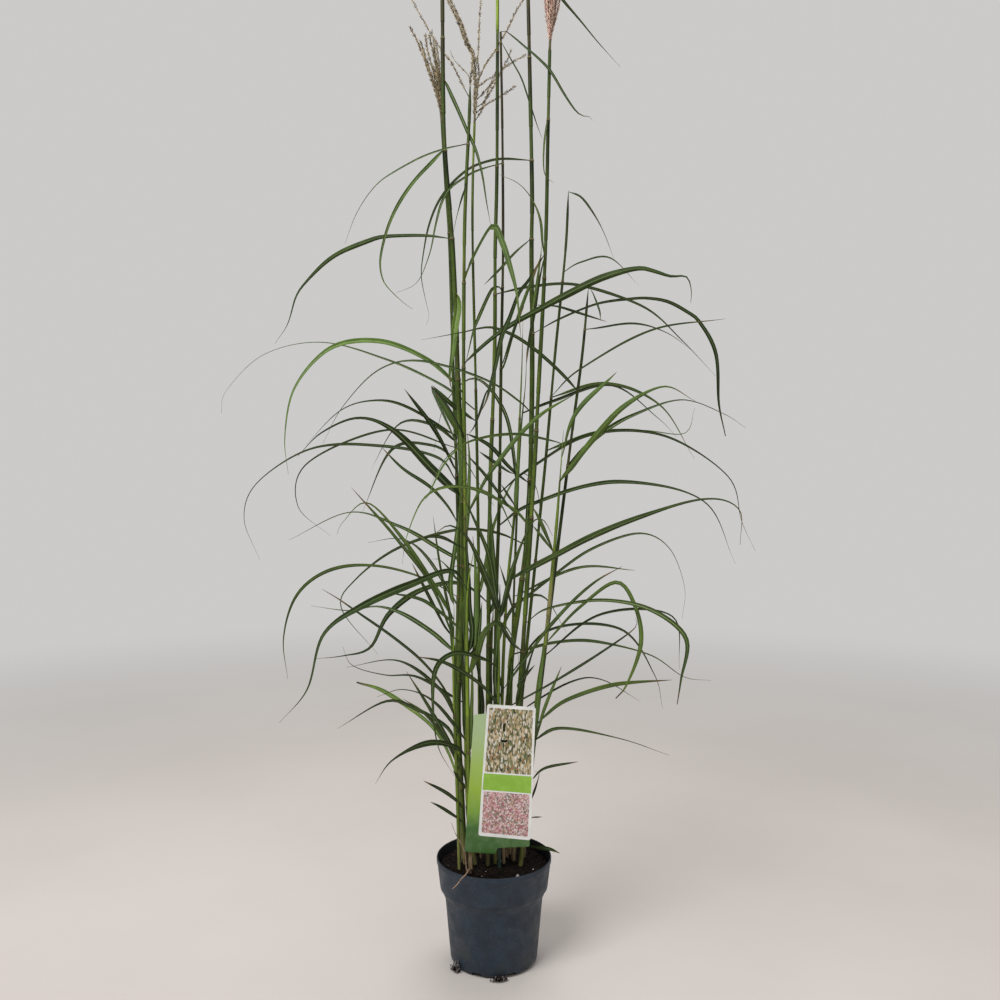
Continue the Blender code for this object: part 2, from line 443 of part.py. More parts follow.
def add_pot(parts, cutters):
    """The thin-walled pot, with notches in its bottom edge to drain it."""
    inner_floor = WALL * 1.5
    rounding = [(BASE_RADIUS - BASE_ROUNDING * (1 - math.cos(a)), BASE_ROUNDING * (1 - math.sin(a)))
                for a in (0.0, math.radians(30), math.radians(60), math.radians(90))]
    profile = [(RIM_RADIUS - WALL, POT_HEIGHT), (RIM_RADIUS, POT_HEIGHT - 0.001),
               (RIM_RADIUS, POT_HEIGHT - 0.008), (RIM_RADIUS - 0.0012, POT_HEIGHT - 0.0095),
               (COLLAR_RADIUS, COLLAR_BOTTOM), (COLLAR_RADIUS - 0.0025, COLLAR_BOTTOM - 0.002),
               (SHOULDER_RADIUS + 0.0015, SHOULDER_BOTTOM + 0.004), (SHOULDER_RADIUS, SHOULDER_BOTTOM)]
    profile += rounding
    profile += [(0.0, 0.0), (0.0, inner_floor), (BASE_RADIUS - BASE_ROUNDING, inner_floor),
                (BASE_RADIUS - WALL, BASE_ROUNDING + WALL), (SHOULDER_RADIUS - WALL, SHOULDER_BOTTOM),
                (COLLAR_RADIUS - WALL - 0.0025, COLLAR_BOTTOM - 0.002), (COLLAR_RADIUS - WALL, COLLAR_BOTTOM),
                (RIM_RADIUS - 2 * WALL, POT_HEIGHT - 0.001), (RIM_RADIUS - WALL, POT_HEIGHT)]
    pot = turned("pot", profile, POT_SIDES, POT_COLOUR, parts)
    for number in range(NOTCH_COUNT):
        angle = 2 * math.pi * (number + 0.5) / NOTCH_COUNT
        out = np.array((math.cos(angle), math.sin(angle), 0.0))
        across = np.array((-math.sin(angle), math.cos(angle), 0.0))
        top = np.array((0.0, 0.0, NOTCH_HEIGHT))
        near, far = (BASE_RADIUS - 0.013) * out, (BASE_RADIUS + 0.01) * out
        half = 0.5 * NOTCH_WIDTH * across
        drop = np.array((0.0, 0.0, -0.01))
        sections = [[place - half + drop, place + half + drop, place + 0.7 * half + top,
                     place - 0.7 * half + top] for place in (near, far)]
        cut(pot, f"notch_{number + 1}", loft("notch", sections), cutters)


def add_soil(parts):
    """The root ball, which fills the pot and is a little lower beside its wall."""
    slack = WALL + GAP + 0.0001
    floor = WALL * 1.5 + GAP
    profile = [(0.0, SOIL_TOP), (SOIL_FLAT_RADIUS, SOIL_TOP), (COLLAR_RADIUS + 0.001 - slack, SOIL_EDGE),
               (COLLAR_RADIUS - slack, COLLAR_BOTTOM),
               (COLLAR_RADIUS - slack - 0.0025, COLLAR_BOTTOM - 0.002),
               (SHOULDER_RADIUS - slack, SHOULDER_BOTTOM),
               (BASE_RADIUS - slack, BASE_ROUNDING + WALL + GAP),
               (BASE_RADIUS - BASE_ROUNDING - slack, floor), (0.0, floor)]
    turned("soil", profile, POT_SIDES, SOIL_COLOUR, parts)


def add_root_tufts(parts):
    """Tufts of roots and soil that push out of the drainage notches."""
    places = [("root_tuft_left", -2.45, 0.0105), ("root_tuft_front", -1.48, 0.0125)]
    for name, angle, size in places:
        shape = bmesh.new()
        bmesh.ops.create_icosphere(shape, subdivisions=2, radius=1.0)
        out = Vector((math.cos(angle), math.sin(angle), 0.0))
        across = Vector((-math.sin(angle), math.cos(angle), 0.0))
        for vert in shape.verts:
            lump = 1.0 + 0.18 * math.sin(9 * vert.co.x + 5 * vert.co.z) * math.cos(7 * vert.co.y)
            local = vert.co * lump
            depth = 0.0055 * local.x
            vert.co = (BASE_RADIUS + 0.0072) * out + depth * out + size * local.y * across
            vert.co.z = 0.0065 + 0.0048 * local.z
        mesh = bpy.data.meshes.new(name)
        shape.to_mesh(mesh)
        shape.free()
        new_object(name, mesh, SOIL_COLOUR, parts)


def label_place(x, z, front=0.0):
    """A point of the label's face, which leans a little towards the front as it rises."""
    depth = -4.4 - 0.045 * (z - 17.0)
    place = seen(x, z, depth)
    return Vector((place[0], place[1] - front, place[2]))


def add_label(parts, cutters):
    """The printed plastic card, with its two slots, and the stake that holds it in the soil."""
    outline = [(-4.7, 17.6), (0.3, 17.2), (0.6, 18.1), (5.7, 18.3), (6.1, 18.9), (7.0, 41.1), (6.6, 41.7),
               (-0.7, 42.2), (-1.1, 41.8), (-1.2, 40.6), (-2.9, 40.6), (-3.4, 40.1), (-5.0, 18.0)]
    sections = [[label_place(x, z, front) for x, z in outline] for front in (0.0, LABEL_THICKNESS)]
    card = new_object("label_card", loft("label_card", sections), LABEL_COLOUR, parts)
    slots = {
        "hanging_slot": [(1.52, 37.6), (1.88, 37.6), (1.88, 38.9), (1.52, 38.9)],
        "smile_slot": [(1.0, 36.2), (1.7, 35.85), (2.4, 36.2), (2.3, 35.7), (1.7, 35.35), (1.1, 35.7)],
    }
    for name, slot in slots.items():
        walls = [[label_place(x, z, front) for x, z in slot] for front in (-0.002, 0.004)]
        cut(card, name, loft(name, walls), cutters)
    foot = Vector((0.009, -0.031, SOIL_TOP + GAP))
    head = label_place(0.9, 19.5)
    middle = foot.lerp(head, 0.55)
    width, depth = Vector((0.0025, 0.0, 0.0)), Vector((0.0, 0.0009, 0.0))
    sections = []
    for place in (foot, middle, head):
        back = place + Vector((0.0, GAP + 0.0009, 0.0)) * (1.0 if place is head else 0.0)
        sections.append([back - width - depth, back + width - depth, back + width + depth,
                         back - width + depth])
    new_object("label_stake", loft("label_stake", sections), STAKE_COLOUR, parts)


def add_head(name, stem, depth_tip, rib, branches, parts):
    """A flower head: a rib that carries the stem on, and its branches, fused to it."""
    depth_foot = stem.fine[-1][1] / CM
    flat = smooth(rib, 5)
    depths = np.linspace(depth_foot, depth_tip, 5)
    line = np.array([seen(x, z, depth) for (x, z), depth in zip(flat, depths)])
    line[0] = stem.fine[-1] + GAP * unit(stem.fine[-1] - stem.fine[-2]) + (0.0, 0.0, 0.0002)
    thing = new_object(name, tube(name, line, np.array((0.17, 0.2, 0.22, 0.2, 0.06)) * CM, 5),
                       HEAD_COLOUR, parts)
    twigs = []
    for share, x, z, aside in branches:
        start = np.array([np.interp(share, np.linspace(0, 1, 5), line[:, k]) for k in range(3)])
        tip = seen(x, z, depth_tip + aside)
        bow = start + 0.45 * (tip - start) + (0.0, 0.0, 0.006)
        twig_line = smooth([start, bow, tip], 4)
        twigs.append(tube("twig", twig_line, np.array((0.1, 0.22, 0.24, 0.05)) * CM, 4))
    fuse(thing, twigs)


def build():
    """Clear the scene and make every piece."""
    for thing in list(bpy.data.objects):
        bpy.data.objects.remove(thing)
    parts = bpy.data.collections.new("potted miscanthus")
    cutters = bpy.data.collections.new("cutters")
    for group in (parts, cutters):
        bpy.context.scene.collection.children.link(group)
    add_pot(parts, cutters)
    add_soil(parts)
    add_root_tufts(parts)
    add_label(parts, cutters)
    stems = {entry[0]: Stem(*entry) for entry in STEMS}
    others = []
    for stem in stems.values():
        others.append((stem.name, stem.fine, np.array([stem.radius_at(place[2]) for place in stem.fine])))
    card = np.array([label_place(x, z) for x in range(-4, 7) for z in range(18, 42)])
    others.append(("label", card, np.full(len(card), 0.006)))
    for name, stem, width, roll, depth_tip, line in LEAVES:
        mesh = blade(name, stems[stem], width, roll, depth_tip, line, others, sink=False)
        new_object(name, mesh, LEAF_COLOUR, parts)
    grown = {name: [] for name in stems}
    for stem, width, roll, depth_tip, line in SMALL_LEAVES:
        grown[stem].append(blade("twig", stems[stem], width, roll, depth_tip, line, others, sink=True))
    for stem in stems.values():
        radii = [stem.radius_at(place[2]) for place in stem.line]
        mesh = tube(stem.name, stem.line, radii, 5, level_foot=True)
        thing = new_object(stem.name, mesh, STEM_COLOUR, parts)
        fuse(thing, grown[stem.name])
    for name, stem, depth_tip, rib, branches in HEADS:
        add_head(name, stems[stem], depth_tip, rib, branches, parts)


build()
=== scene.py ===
import math
import random

import bpy
import numpy as np
from mathutils import Matrix, Vector, noise


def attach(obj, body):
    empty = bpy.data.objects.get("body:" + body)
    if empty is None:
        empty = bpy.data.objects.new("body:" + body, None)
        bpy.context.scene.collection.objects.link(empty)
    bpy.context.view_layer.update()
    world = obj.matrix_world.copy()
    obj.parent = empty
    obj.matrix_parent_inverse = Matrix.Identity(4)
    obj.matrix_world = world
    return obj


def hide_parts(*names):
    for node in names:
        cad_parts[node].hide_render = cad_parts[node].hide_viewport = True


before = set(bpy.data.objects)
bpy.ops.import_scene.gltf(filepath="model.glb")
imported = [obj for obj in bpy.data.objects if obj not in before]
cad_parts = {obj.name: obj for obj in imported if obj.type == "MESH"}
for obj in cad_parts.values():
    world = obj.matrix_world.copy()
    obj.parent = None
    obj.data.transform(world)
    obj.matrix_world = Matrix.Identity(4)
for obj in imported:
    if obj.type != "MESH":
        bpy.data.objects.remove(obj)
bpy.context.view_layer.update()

# Floor, light and camera. The floor is plain and pale, the light is broad and soft, and the camera stands
# where the eye stood, 77 cm above the pot's base and 149 cm in front of its axis.
EYE = np.array((0.010, -1.490, 0.775))
CM = 0.01
BACKDROP = (0.600, 0.594, 0.582)


def made(name):
    """The thing that the last operator made, named."""
    bpy.context.object.name = name
    return bpy.context.object


class Nodes:
    """The nodes of a material, a group or the world, and short ways to add to them."""

    def __init__(self, tree):
        self.tree = tree

    def feed(self, target, value):
        """Link a socket to a target, or set the target's own value."""
        if isinstance(value, bpy.types.NodeSocket):
            self.tree.links.new(value, target)
        elif value is not None:
            target.default_value = value

    def add(self, kind, *values, **settings):
        """A node placed to the right of the last one, with its settings and its first inputs."""
        node = self.tree.nodes.new("ShaderNode" + kind)
        node.location = (190 * (len(self.tree.nodes) % 9), -260 * (len(self.tree.nodes) // 9))
        for name, value in settings.items():
            setattr(node, name, value)
        for target, value in zip(node.inputs, values):
            self.feed(target, value)
        return node

    def maths(self, operation, *values, clamp=False):
        """One sum."""
        return self.add("Math", *values, operation=operation, use_clamp=clamp).outputs[0]

    def off(self, value, middle):
        """How far a value is from a middle."""
        return self.maths("ABSOLUTE", self.maths("SUBTRACT", value, middle))

    def mix(self, share, first, second, strength=None, blend="MIX"):
        """Two colours mixed by a share, which a strength lessens."""
        share = share if strength is None else self.maths("MULTIPLY", share, strength)
        node = self.add("Mix", data_type="RGBA", blend_type=blend)
        for number, value in ((0, share), (6, first), (7, second)):
            self.feed(node.inputs[number], (*value, 1) if isinstance(value, tuple) else value)
        return node.outputs[2]

    def spread(self, value, low, high, to_low=0.0, to_high=1.0):
        """A value's range stretched to another, with a soft start and end."""
        return self.add("MapRange", value, low, high, to_low, to_high, interpolation_type="SMOOTHSTEP").outputs[0]


class Finish(Nodes):
    """A material: its shader's inputs, the place on the piece, and short ways to colour it."""

    def __init__(self, name, roughness=0.5, specular=0.5, coat=0.0):
        self.material = bpy.data.materials.new(name)
        self.material.use_nodes = True
        super().__init__(self.material.node_tree)
        self.shader = self.tree.nodes["Principled BSDF"].inputs
        self.shader["Roughness"].default_value = roughness
        self.shader["Specular IOR Level"].default_value = specular
        self.shader["Coat Weight"].default_value = coat
        self.place = self.add("TexCoord").outputs["Object"]

    def cloud(self, size, detail, rough=0.5):
        """Plain noise over the piece."""
        return self.add("TexNoise", self.place, None, size, detail, rough).outputs[0]

    def effect(self, group, place, *numbers):
        """The outputs of a shared effect, placed here with its own numbers."""
        return self.add("Group", place, *numbers, node_tree=group.tree).outputs

    def mask(self, group, *numbers, place=None):
        """The mask of a shared effect over the piece."""
        return self.effect(group, place or self.place, *numbers)["Mask"]

    def stretched(self, tall):
        """The place on the piece with its height squeezed, which draws a pattern out upwards."""
        node = self.add("Mapping", self.place)
        node.inputs["Scale"].default_value = (1.0, 1.0, tall)
        return node.outputs[0]

    def kept(self, name):
        """A number that the mesh keeps at each point."""
        return self.add("Attribute", attribute_name=name).outputs["Fac"]

    def ramp(self, value, *stops, between="LINEAR"):
        """A colour picked by a value from stops, each with its spot and its colour."""
        node = self.add("ValToRGB", value)
        node.color_ramp.interpolation = between
        for spot, colour in stops[1:-1]:
            node.color_ramp.elements.new(spot)
        for element, (spot, colour) in zip(node.color_ramp.elements, stops):
            element.position = spot
            element.color = (*colour, 1)
        return node.outputs[0]

    def finish(self, colour, roughness=None, bump=None):
        """Feed the shader: its colour, its roughness, and a bump's strength, depth and height."""
        self.feed(self.shader["Base Color"], colour)
        self.feed(self.shader["Roughness"], roughness)
        if bump:
            node = self.add("Bump", *bump[:2])
            self.feed(node.inputs["Height"], bump[2])
            self.feed(self.shader["Normal"], node.outputs[0])

    def dress(self, *things):
        """Put the material on things, in place of what they wear."""
        for thing in things:
            thing.data.materials.clear()
            thing.data.materials.append(self.material)


bpy.ops.object.select_all(action="DESELECT")
bpy.ops.object.camera_add(location=EYE, rotation=(math.radians(89.4), 0, 0))
camera = made("camera")
camera.data.lens = 32.4
camera.data.clip_start = 0.05
bpy.context.scene.camera = camera
bpy.ops.mesh.primitive_grid_add(x_subdivisions=8, y_subdivisions=8, size=60, location=(0, 0, -0.0004))
floor = made("floor")
pale = Finish("pale_floor", 0.55)
base = pale.mix(pale.spread(pale.cloud(1.3, 4.0), 0.3, 0.7), (0.615, 0.565, 0.532), (0.66, 0.61, 0.575))
far = pale.spread(pale.add("VectorMath", pale.place, operation="LENGTH").outputs["Value"], 0.6, 4.0)
pale.finish(pale.mix(far, base, (0.0, 0.0, 0.0)))
pale.feed(pale.shader["Emission Color"], pale.mix(far, (0.0, 0.0, 0.0), BACKDROP))
pale.shader["Emission Strength"].default_value = 1.0
pale.shader["IOR"].default_value = 1.0
pale.dress(floor)
world = bpy.data.worlds.new("studio")
world.use_nodes = True
studio = Nodes(world.node_tree)
background = world.node_tree.nodes["Background"].inputs
background["Color"].default_value = (*BACKDROP, 1)
seen_straight = studio.add("LightPath").outputs["Is Camera Ray"]
studio.feed(background["Strength"], studio.maths("MULTIPLY_ADD", seen_straight, 0.58, 0.42))
bpy.context.scene.world = world
bpy.context.scene.view_settings.view_transform = "Standard"
for name, spot, aim, size, power in (("key", (-1.3, -1.7, 3.1), (0, 0, 0.9), 1.5, 86),
                                     ("fill", (2.2, -1.5, 2.0), (0, 0, 0.8), 2.0, 12),
                                     ("top", (0.3, 1.2, 3.6), (0, 0, 0.9), 2.0, 52)):
    bpy.ops.object.light_add(type="AREA", location=spot)
    lamp = made(name)
    lamp.data.size = size
    lamp.data.energy = power
    lamp.rotation_euler = (Vector(aim) - Vector(spot)).to_track_quat("-Z", "Y").to_euler()

# The pot: one thin round shell of dark slate-blue plastic, moulded in one shot, with a tall collar under a
# rolled rim, a shoulder below the collar and notches in its foot that let water out.
POT_TURN = [(0.004, 0.0), (0.060, 0.0), (0.0655, 0.0004), (0.0690, 0.0020), (0.0712, 0.0048), (0.0720, 0.0080),
            (0.0745, 0.035), (0.0774, 0.068), (0.0802, 0.0985), (0.0810, 0.1045), (0.0818, 0.1068),
            (0.0832, 0.1094), (0.0852, 0.1150), (0.0868, 0.1186), (0.0876, 0.1196), (0.0884, 0.1199),
            (0.0889, 0.1204), (0.0891, 0.1214), (0.0905, 0.1330), (0.0922, 0.1470), (0.0937, 0.1596),
            (0.0943, 0.1612), (0.0948, 0.1620), (0.0950, 0.1632), (0.0950, 0.1684), (0.0947, 0.1696),
            (0.0941, 0.1700), (0.0934, 0.1698), (0.0930, 0.1690), (0.0927, 0.1660), (0.0905, 0.1480),
            (0.0873, 0.1212), (0.0860, 0.1180), (0.0794, 0.1044), (0.0704, 0.0100), (0.0640, 0.0026),
            (0.004, 0.0024)]
NOTCH_COUNT = 8
SHOULDER_HEIGHT = 0.1203
INNER_FOOT, INNER_LEAN = 0.0734, 0.1224    # the inner wall's radius at the floor, and its growth with height


def close_up():
    """Weld the open piece's seam, fill its ends, turn its faces outwards and leave edit mode."""
    bpy.ops.mesh.select_all(action="SELECT")
    bpy.ops.mesh.remove_doubles(threshold=0.00001)
    bpy.ops.mesh.fill_holes(sides=0)
    bpy.ops.mesh.select_all(action="SELECT")
    bpy.ops.mesh.normals_make_consistent(inside=False)
    bpy.ops.object.mode_set(mode="OBJECT")


def select_only(*things):
    """Select these things only, with the first one active."""
    bpy.ops.object.select_all(action="DESELECT")
    for thing in things:
        thing.select_set(True)
    bpy.context.view_layer.objects.active = things[0]


def shaped(thing, kind, **settings):
    """Give a thing a modifier with these settings, and apply it."""
    modifier = thing.modifiers.new(kind.lower(), kind)
    for name, value in settings.items():
        setattr(modifier, name, value)
    select_only(thing)
    bpy.ops.object.modifier_apply(modifier=modifier.name)


def apply_place():
    """Move the selected thing's place, turn and scale into its mesh."""
    bpy.ops.object.transform_apply(location=True, rotation=True, scale=True)


bpy.ops.mesh.primitive_circle_add(vertices=112, radius=POT_TURN[0][0], location=(0, 0, 0))
pot = made("nursery_pot")
bpy.ops.object.mode_set(mode="EDIT")
for (wide, high), (next_wide, next_high) in zip(POT_TURN, POT_TURN[1:]):
    bpy.ops.mesh.extrude_region_move(TRANSFORM_OT_translate={"value": (0, 0, next_high - high)})
    bpy.ops.transform.resize(value=(next_wide / wide, next_wide / wide, 1), center_override=(0, 0, 0))
close_up()
for number in range(NOTCH_COUNT):
    turn = 2 * math.pi * (number + 0.5) / NOTCH_COUNT
    bpy.ops.object.select_all(action="DESELECT")
    bpy.ops.mesh.primitive_cube_add(size=1, location=(0.070 * math.cos(turn), 0.070 * math.sin(turn), 0.001),
                                    rotation=(0, 0, turn), scale=(0.026, 0.018, 0.012))
    notch = made("notch")
    bpy.ops.object.transform_apply(location=False, rotation=False, scale=True)
    shaped(notch, "BEVEL", width=0.003, segments=3)
    shaped(pot, "BOOLEAN", object=notch, operation="DIFFERENCE")
    bpy.data.objects.remove(notch)
apply_place()
bpy.ops.object.shade_smooth_by_angle(angle=math.radians(38))


def effect_group(name, numbers, outputs=("Mask",)):
    """A shared effect: a node group with a place and named numbers in, and named masks out."""
    group = bpy.data.node_groups.new(name, "ShaderNodeTree")
    group.interface.new_socket("Place", in_out="INPUT", socket_type="NodeSocketVector")
    for number, usual in numbers:
        made_socket = group.interface.new_socket(number, in_out="INPUT", socket_type="NodeSocketFloat")
        made_socket.default_value = usual
    for output in outputs:
        group.interface.new_socket(output, in_out="OUTPUT", socket_type="NodeSocketFloat")
    return Nodes(group), group.nodes.new("NodeGroupInput").outputs, group.nodes.new("NodeGroupOutput").inputs


patches, ins, outs = effect_group("patches", [("Size", 20.0), ("Low", 0.45), ("High", 0.6)])
cloud = patches.add("TexNoise", ins["Place"], None, ins["Size"], 5.0, 0.6).outputs[0]
patches.feed(outs["Mask"], patches.spread(cloud, ins["Low"], ins["High"]))

specks, ins, outs = effect_group("specks", [("Size", 300.0), ("Reach", 0.2), ("Share", 0.3)])
cells = specks.add("TexVoronoi", ins["Place"], None, ins["Size"])
near = specks.maths("LESS_THAN", cells.outputs["Distance"], ins["Reach"])
pick = specks.add("SeparateColor", cells.outputs["Color"]).outputs[0]
specks.feed(outs["Mask"], specks.maths("MULTIPLY", near, specks.maths("LESS_THAN", pick, ins["Share"])))

plastic = Finish("slate_plastic")
height = plastic.add("SeparateXYZ", plastic.place).outputs[2]
base = plastic.mix(plastic.mask(patches, 34.0, 0.35, 0.7), (0.0085, 0.0190, 0.0350), (0.017, 0.033, 0.054))
smear = plastic.maths("MULTIPLY", plastic.spread(height, 0.09, 0.01), plastic.mask(patches, 26.0, 0.52, 0.70))
base = plastic.mix(smear, base, (0.046, 0.048, 0.030), 0.55)
scuff = plastic.mask(patches, 130.0, 0.60, 0.78, place=plastic.stretched(0.12))
base = plastic.mix(scuff, base, (0.060, 0.078, 0.098), 0.35)
base = plastic.mix(plastic.mask(specks, 230.0, 0.15, 0.40), base, (0.15, 0.155, 0.148), 0.5)
# Painted shade: the inner wall above the soil is painted near black, for the shade that falls inside the pot.
flat = plastic.add("VectorMath", plastic.place, (1.0, 1.0, 0.0), operation="MULTIPLY").outputs[0]
far = plastic.add("VectorMath", flat, operation="LENGTH").outputs["Value"]
inside = plastic.maths("LESS_THAN", plastic.maths("MULTIPLY_ADD", height, -INNER_LEAN, far), INNER_FOOT)
inside = plastic.maths("MULTIPLY", inside, plastic.maths("GREATER_THAN", height, 0.1215))
base = plastic.mix(inside, base, (0.0045, 0.0040, 0.0040), 0.85)
# Painted shade: a thin dark line at the shoulder, for the shadow under its ledge.
painted_shoulder_shade = plastic.maths("LESS_THAN", plastic.off(height, SHOULDER_HEIGHT), 0.0011)
plastic.finish(plastic.mix(painted_shoulder_shade, base, (0.010, 0.014, 0.018), 0.6),
               plastic.spread(plastic.mask(patches, 60.0, 0.3, 0.7), 0, 1, 0.46, 0.62),
               (0.25, 0.0004, plastic.cloud(900.0, 3.0)))
plastic.dress(pot)
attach(pot, "root")
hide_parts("pot")

# The soil: one root ball of dark damp peat that fills the pot to about 12 mm under its rim. Its top is rough,
# with crumbs, short fibres and pale bits pressed into it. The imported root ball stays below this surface.
SOIL_RADIUS = 0.0893
SOIL_LEVEL = 0.1590
SOIL_RINGS = 26
CRUMBS = 620
FIBRES = 60
bpy.ops.object.select_all(action="DESELECT")
bpy.ops.mesh.primitive_circle_add(vertices=72, radius=SOIL_RADIUS, fill_type="NGON", location=(0, 0, 0.1585))
soil_top = made("soil_surface")
bpy.ops.object.mode_set(mode="EDIT")
for ring in range(SOIL_RINGS):
    bpy.ops.mesh.inset(thickness=SOIL_RADIUS / (SOIL_RINGS + 1.5))
bpy.ops.mesh.merge(type="CENTER")
bpy.ops.object.mode_set(mode="OBJECT")
apply_place()


def soil_height(x, y):
    """The soil's height at a place: lumps of several sizes, and lower beside the pot."""
    lumps = (0.0026 * noise.noise((38 * x, 38 * y, 3.0)) + 0.0017 * noise.noise((95 * x, 95 * y, 7.0))
             + 0.0011 * noise.noise((230 * x, 230 * y, 1.0)))
    edge = max(0.0, math.hypot(x, y) - 0.066) / 0.024
    return SOIL_LEVEL + lumps - 0.0052 * edge ** 2


for vert in soil_top.data.vertices:
    vert.co.z = soil_height(vert.co.x, vert.co.y)
shaped(soil_top, "SOLIDIFY", thickness=0.004, offset=-1)
bpy.ops.object.shade_smooth()


def keep(mesh, name, values):
    """Keep a number at each point of a mesh, for its material to read."""
    numbers = mesh.attributes.get(name) or mesh.attributes.new(name, "FLOAT", "POINT")
    numbers.data.foreach_set("value", values)


def copies(name, model, places):
    """Copies of a modelled piece in one mesh: each place is an origin, three axes and a number, its tone."""
    points = np.array([vert.co for vert in model.data.vertices])
    faces = [tuple(face.vertices) for face in model.data.polygons]
    all_points, all_faces, tones = [], [], []
    for origin, axes, tone in places:
        first = len(tones)
        all_points.append(np.asarray(origin) + points @ np.asarray(axes))
        all_faces += [tuple(first + corner for corner in face) for face in faces]
        tones += [tone] * len(points)
    mesh = bpy.data.meshes.new(name)
    mesh.from_pydata(np.concatenate(all_points).tolist(), [], all_faces)
    keep(mesh, "tone", tones)
    mesh.shade_smooth()
    thing = bpy.data.objects.new(name, mesh)
    bpy.context.scene.collection.objects.link(thing)
    return thing


def random_axes(chance, *size):
    """Three axes turned at random, with their own lengths."""
    turn = Matrix.Rotation(chance.uniform(0, 6.283), 3, Vector([chance.gauss(0, 1) for _ in range(3)]).normalized())
    return [list(turn @ Vector(row)) for row in np.diag(size)]


def random_spot(chance, reach):
    """A spot on the soil, at random within a reach of its middle."""
    turn, far = chance.uniform(0, 6.283), reach * math.sqrt(chance.random())
    return far * math.cos(turn), far * math.sin(turn)


chance = random.Random(5)
bpy.ops.mesh.primitive_ico_sphere_add(subdivisions=2, radius=1)
crumb = made("crumb")
for vert in crumb.data.vertices:
    vert.co *= 1 + 0.35 * noise.noise(vert.co * 1.7)
spots = []
for number in range(CRUMBS):
    x, y = random_spot(chance, 0.086)
    size = min(0.0034, chance.lognormvariate(-6.75, 0.45))
    axes = random_axes(chance, size, size * chance.uniform(0.5, 1), size * chance.uniform(0.4, 0.9))
    tone = 0.9 + 0.1 * chance.random() if chance.random() < 0.014 else 0.7 * chance.random()
    spots.append(((x, y, soil_height(x, y) + 0.25 * size), axes, tone))
crumbs = copies("soil_crumbs", crumb, spots)


def unit(way):
    """A direction with a length of one."""
    return way / np.linalg.norm(way)


def carried(line, across):
    """Each place's way ahead along a line, and its way across, carried along without a twist."""
    ahead = np.gradient(line, axis=0)
    ahead /= np.linalg.norm(ahead, axis=1)[:, None]
    sides = []
    for way in ahead:
        across = unit(across - np.dot(across, way) * way)
        sides.append(across)
    return ahead, sides


def rod(name, line, radii, sides, tone=0.5):
    """A tube along a line, from a flat grid that is rolled up, welded along its seam and closed at its ends.

    Its UV map runs round it and along it, and its tone tells it from its neighbours.
    """
    line = np.asarray(line, dtype=float)
    bpy.ops.object.select_all(action="DESELECT")
    bpy.ops.mesh.primitive_grid_add(x_subdivisions=sides, y_subdivisions=len(line) - 1, size=1)
    tube = made(name)
    ahead, across = carried(line, np.cross(unit(np.gradient(line, axis=0)[0]), (0.0, 1.0, 0.03)))
    turns = [2 * math.pi * side / sides for side in range(sides + 1)]
    points = [place + radius * (math.cos(a) * side + math.sin(a) * np.cross(way, side))
              for place, radius, way, side in zip(line, radii, ahead, across) for a in turns]
    tube.data.vertices.foreach_set("co", np.array(points).ravel())
    bpy.ops.object.mode_set(mode="EDIT")
    close_up()
    keep(tube.data, "tone", [tone] * len(tube.data.vertices))
    tube.data.shade_smooth()
    return tube


def joined(name, *things):
    """Things joined into the first one."""
    select_only(*things)
    if len(things) > 1:
        bpy.ops.object.join()
    return made(name)


fibres = []
for number in range(FIBRES):
    x, y = random_spot(chance, 0.080)
    way = chance.uniform(0, 6.283)
    long, bow = chance.uniform(0.006, 0.022), chance.uniform(-0.5, 0.5)
    route = []
    for step in range(7):
        share = step / 6 - 0.5
        a, b = x + long * share * math.cos(way + bow * share), y + long * share * math.sin(way + bow * share)
        if math.hypot(a, b) > 0.086:
            a, b = a * 0.085 / math.hypot(a, b), b * 0.085 / math.hypot(a, b)
        route.append((a, b, soil_height(a, b) + 0.0006 + 0.0012 * chance.random() * (1 - 2 * abs(share))))
    thick = chance.uniform(0.00016, 0.00042)
    fibres.append(rod("fibre", route, [thick * 0.5] + [thick] * 5 + [thick * 0.4], 5, chance.uniform(0.5, 0.88)))
fibres = joined("soil_fibres", *fibres)

peat = Finish("peat", 0.9, specular=0.1)
base = peat.mix(peat.mask(patches, 90.0, 0.35, 0.68), (0.0021, 0.0014, 0.0011), (0.0075, 0.0042, 0.0030))
base = peat.mix(peat.mask(specks, 520.0, 0.30, 0.10), base, (0.066, 0.026, 0.014))
lump = peat.cloud(420.0, 6.0, 0.65)
peat.finish(peat.mix(peat.mask(specks, 330.0, 0.16, 0.07), base, (0.12, 0.08, 0.05)),
            peat.spread(lump, 0.35, 0.65, 0.97, 0.72), (0.9, 0.0012, lump))
loose = Finish("crumbs_and_fibres", 0.85, specular=0.15)
base = loose.ramp(loose.kept("tone"), (0.0, (0.0018, 0.0012, 0.0009)), (0.62, (0.010, 0.0054, 0.0036)),
                  (0.78, (0.056, 0.021, 0.012)), (0.90, (0.10, 0.055, 0.033)), (1.0, (1.0, 1.0, 1.0)))
loose.finish(loose.mix(loose.mask(patches, 600.0, 0.3, 0.7), base, (0.006, 0.004, 0.003), 0.5),
             None, (0.5, 0.0004, loose.cloud(1500.0, 3.0)))
peat.dress(soil_top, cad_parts["soil"])
loose.dress(crumbs, fibres)
for thing in (soil_top, crumbs, fibres):
    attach(thing, "root")

# Root tufts: dark roots that the grass has pushed out of two notches in the pot's foot, with peat caught in
# them. Each is a loose tangle of thin crooked roots and crumbs, flat on the ground.
ROOT_TONES = (0.4, 0.6, 0.8, 0.88, 0.93, 0.97)
PEAT_BITS = 46
ROOTS = 64


def held(low, value, high):
    """A value held between two others."""
    return max(low, min(high, value))


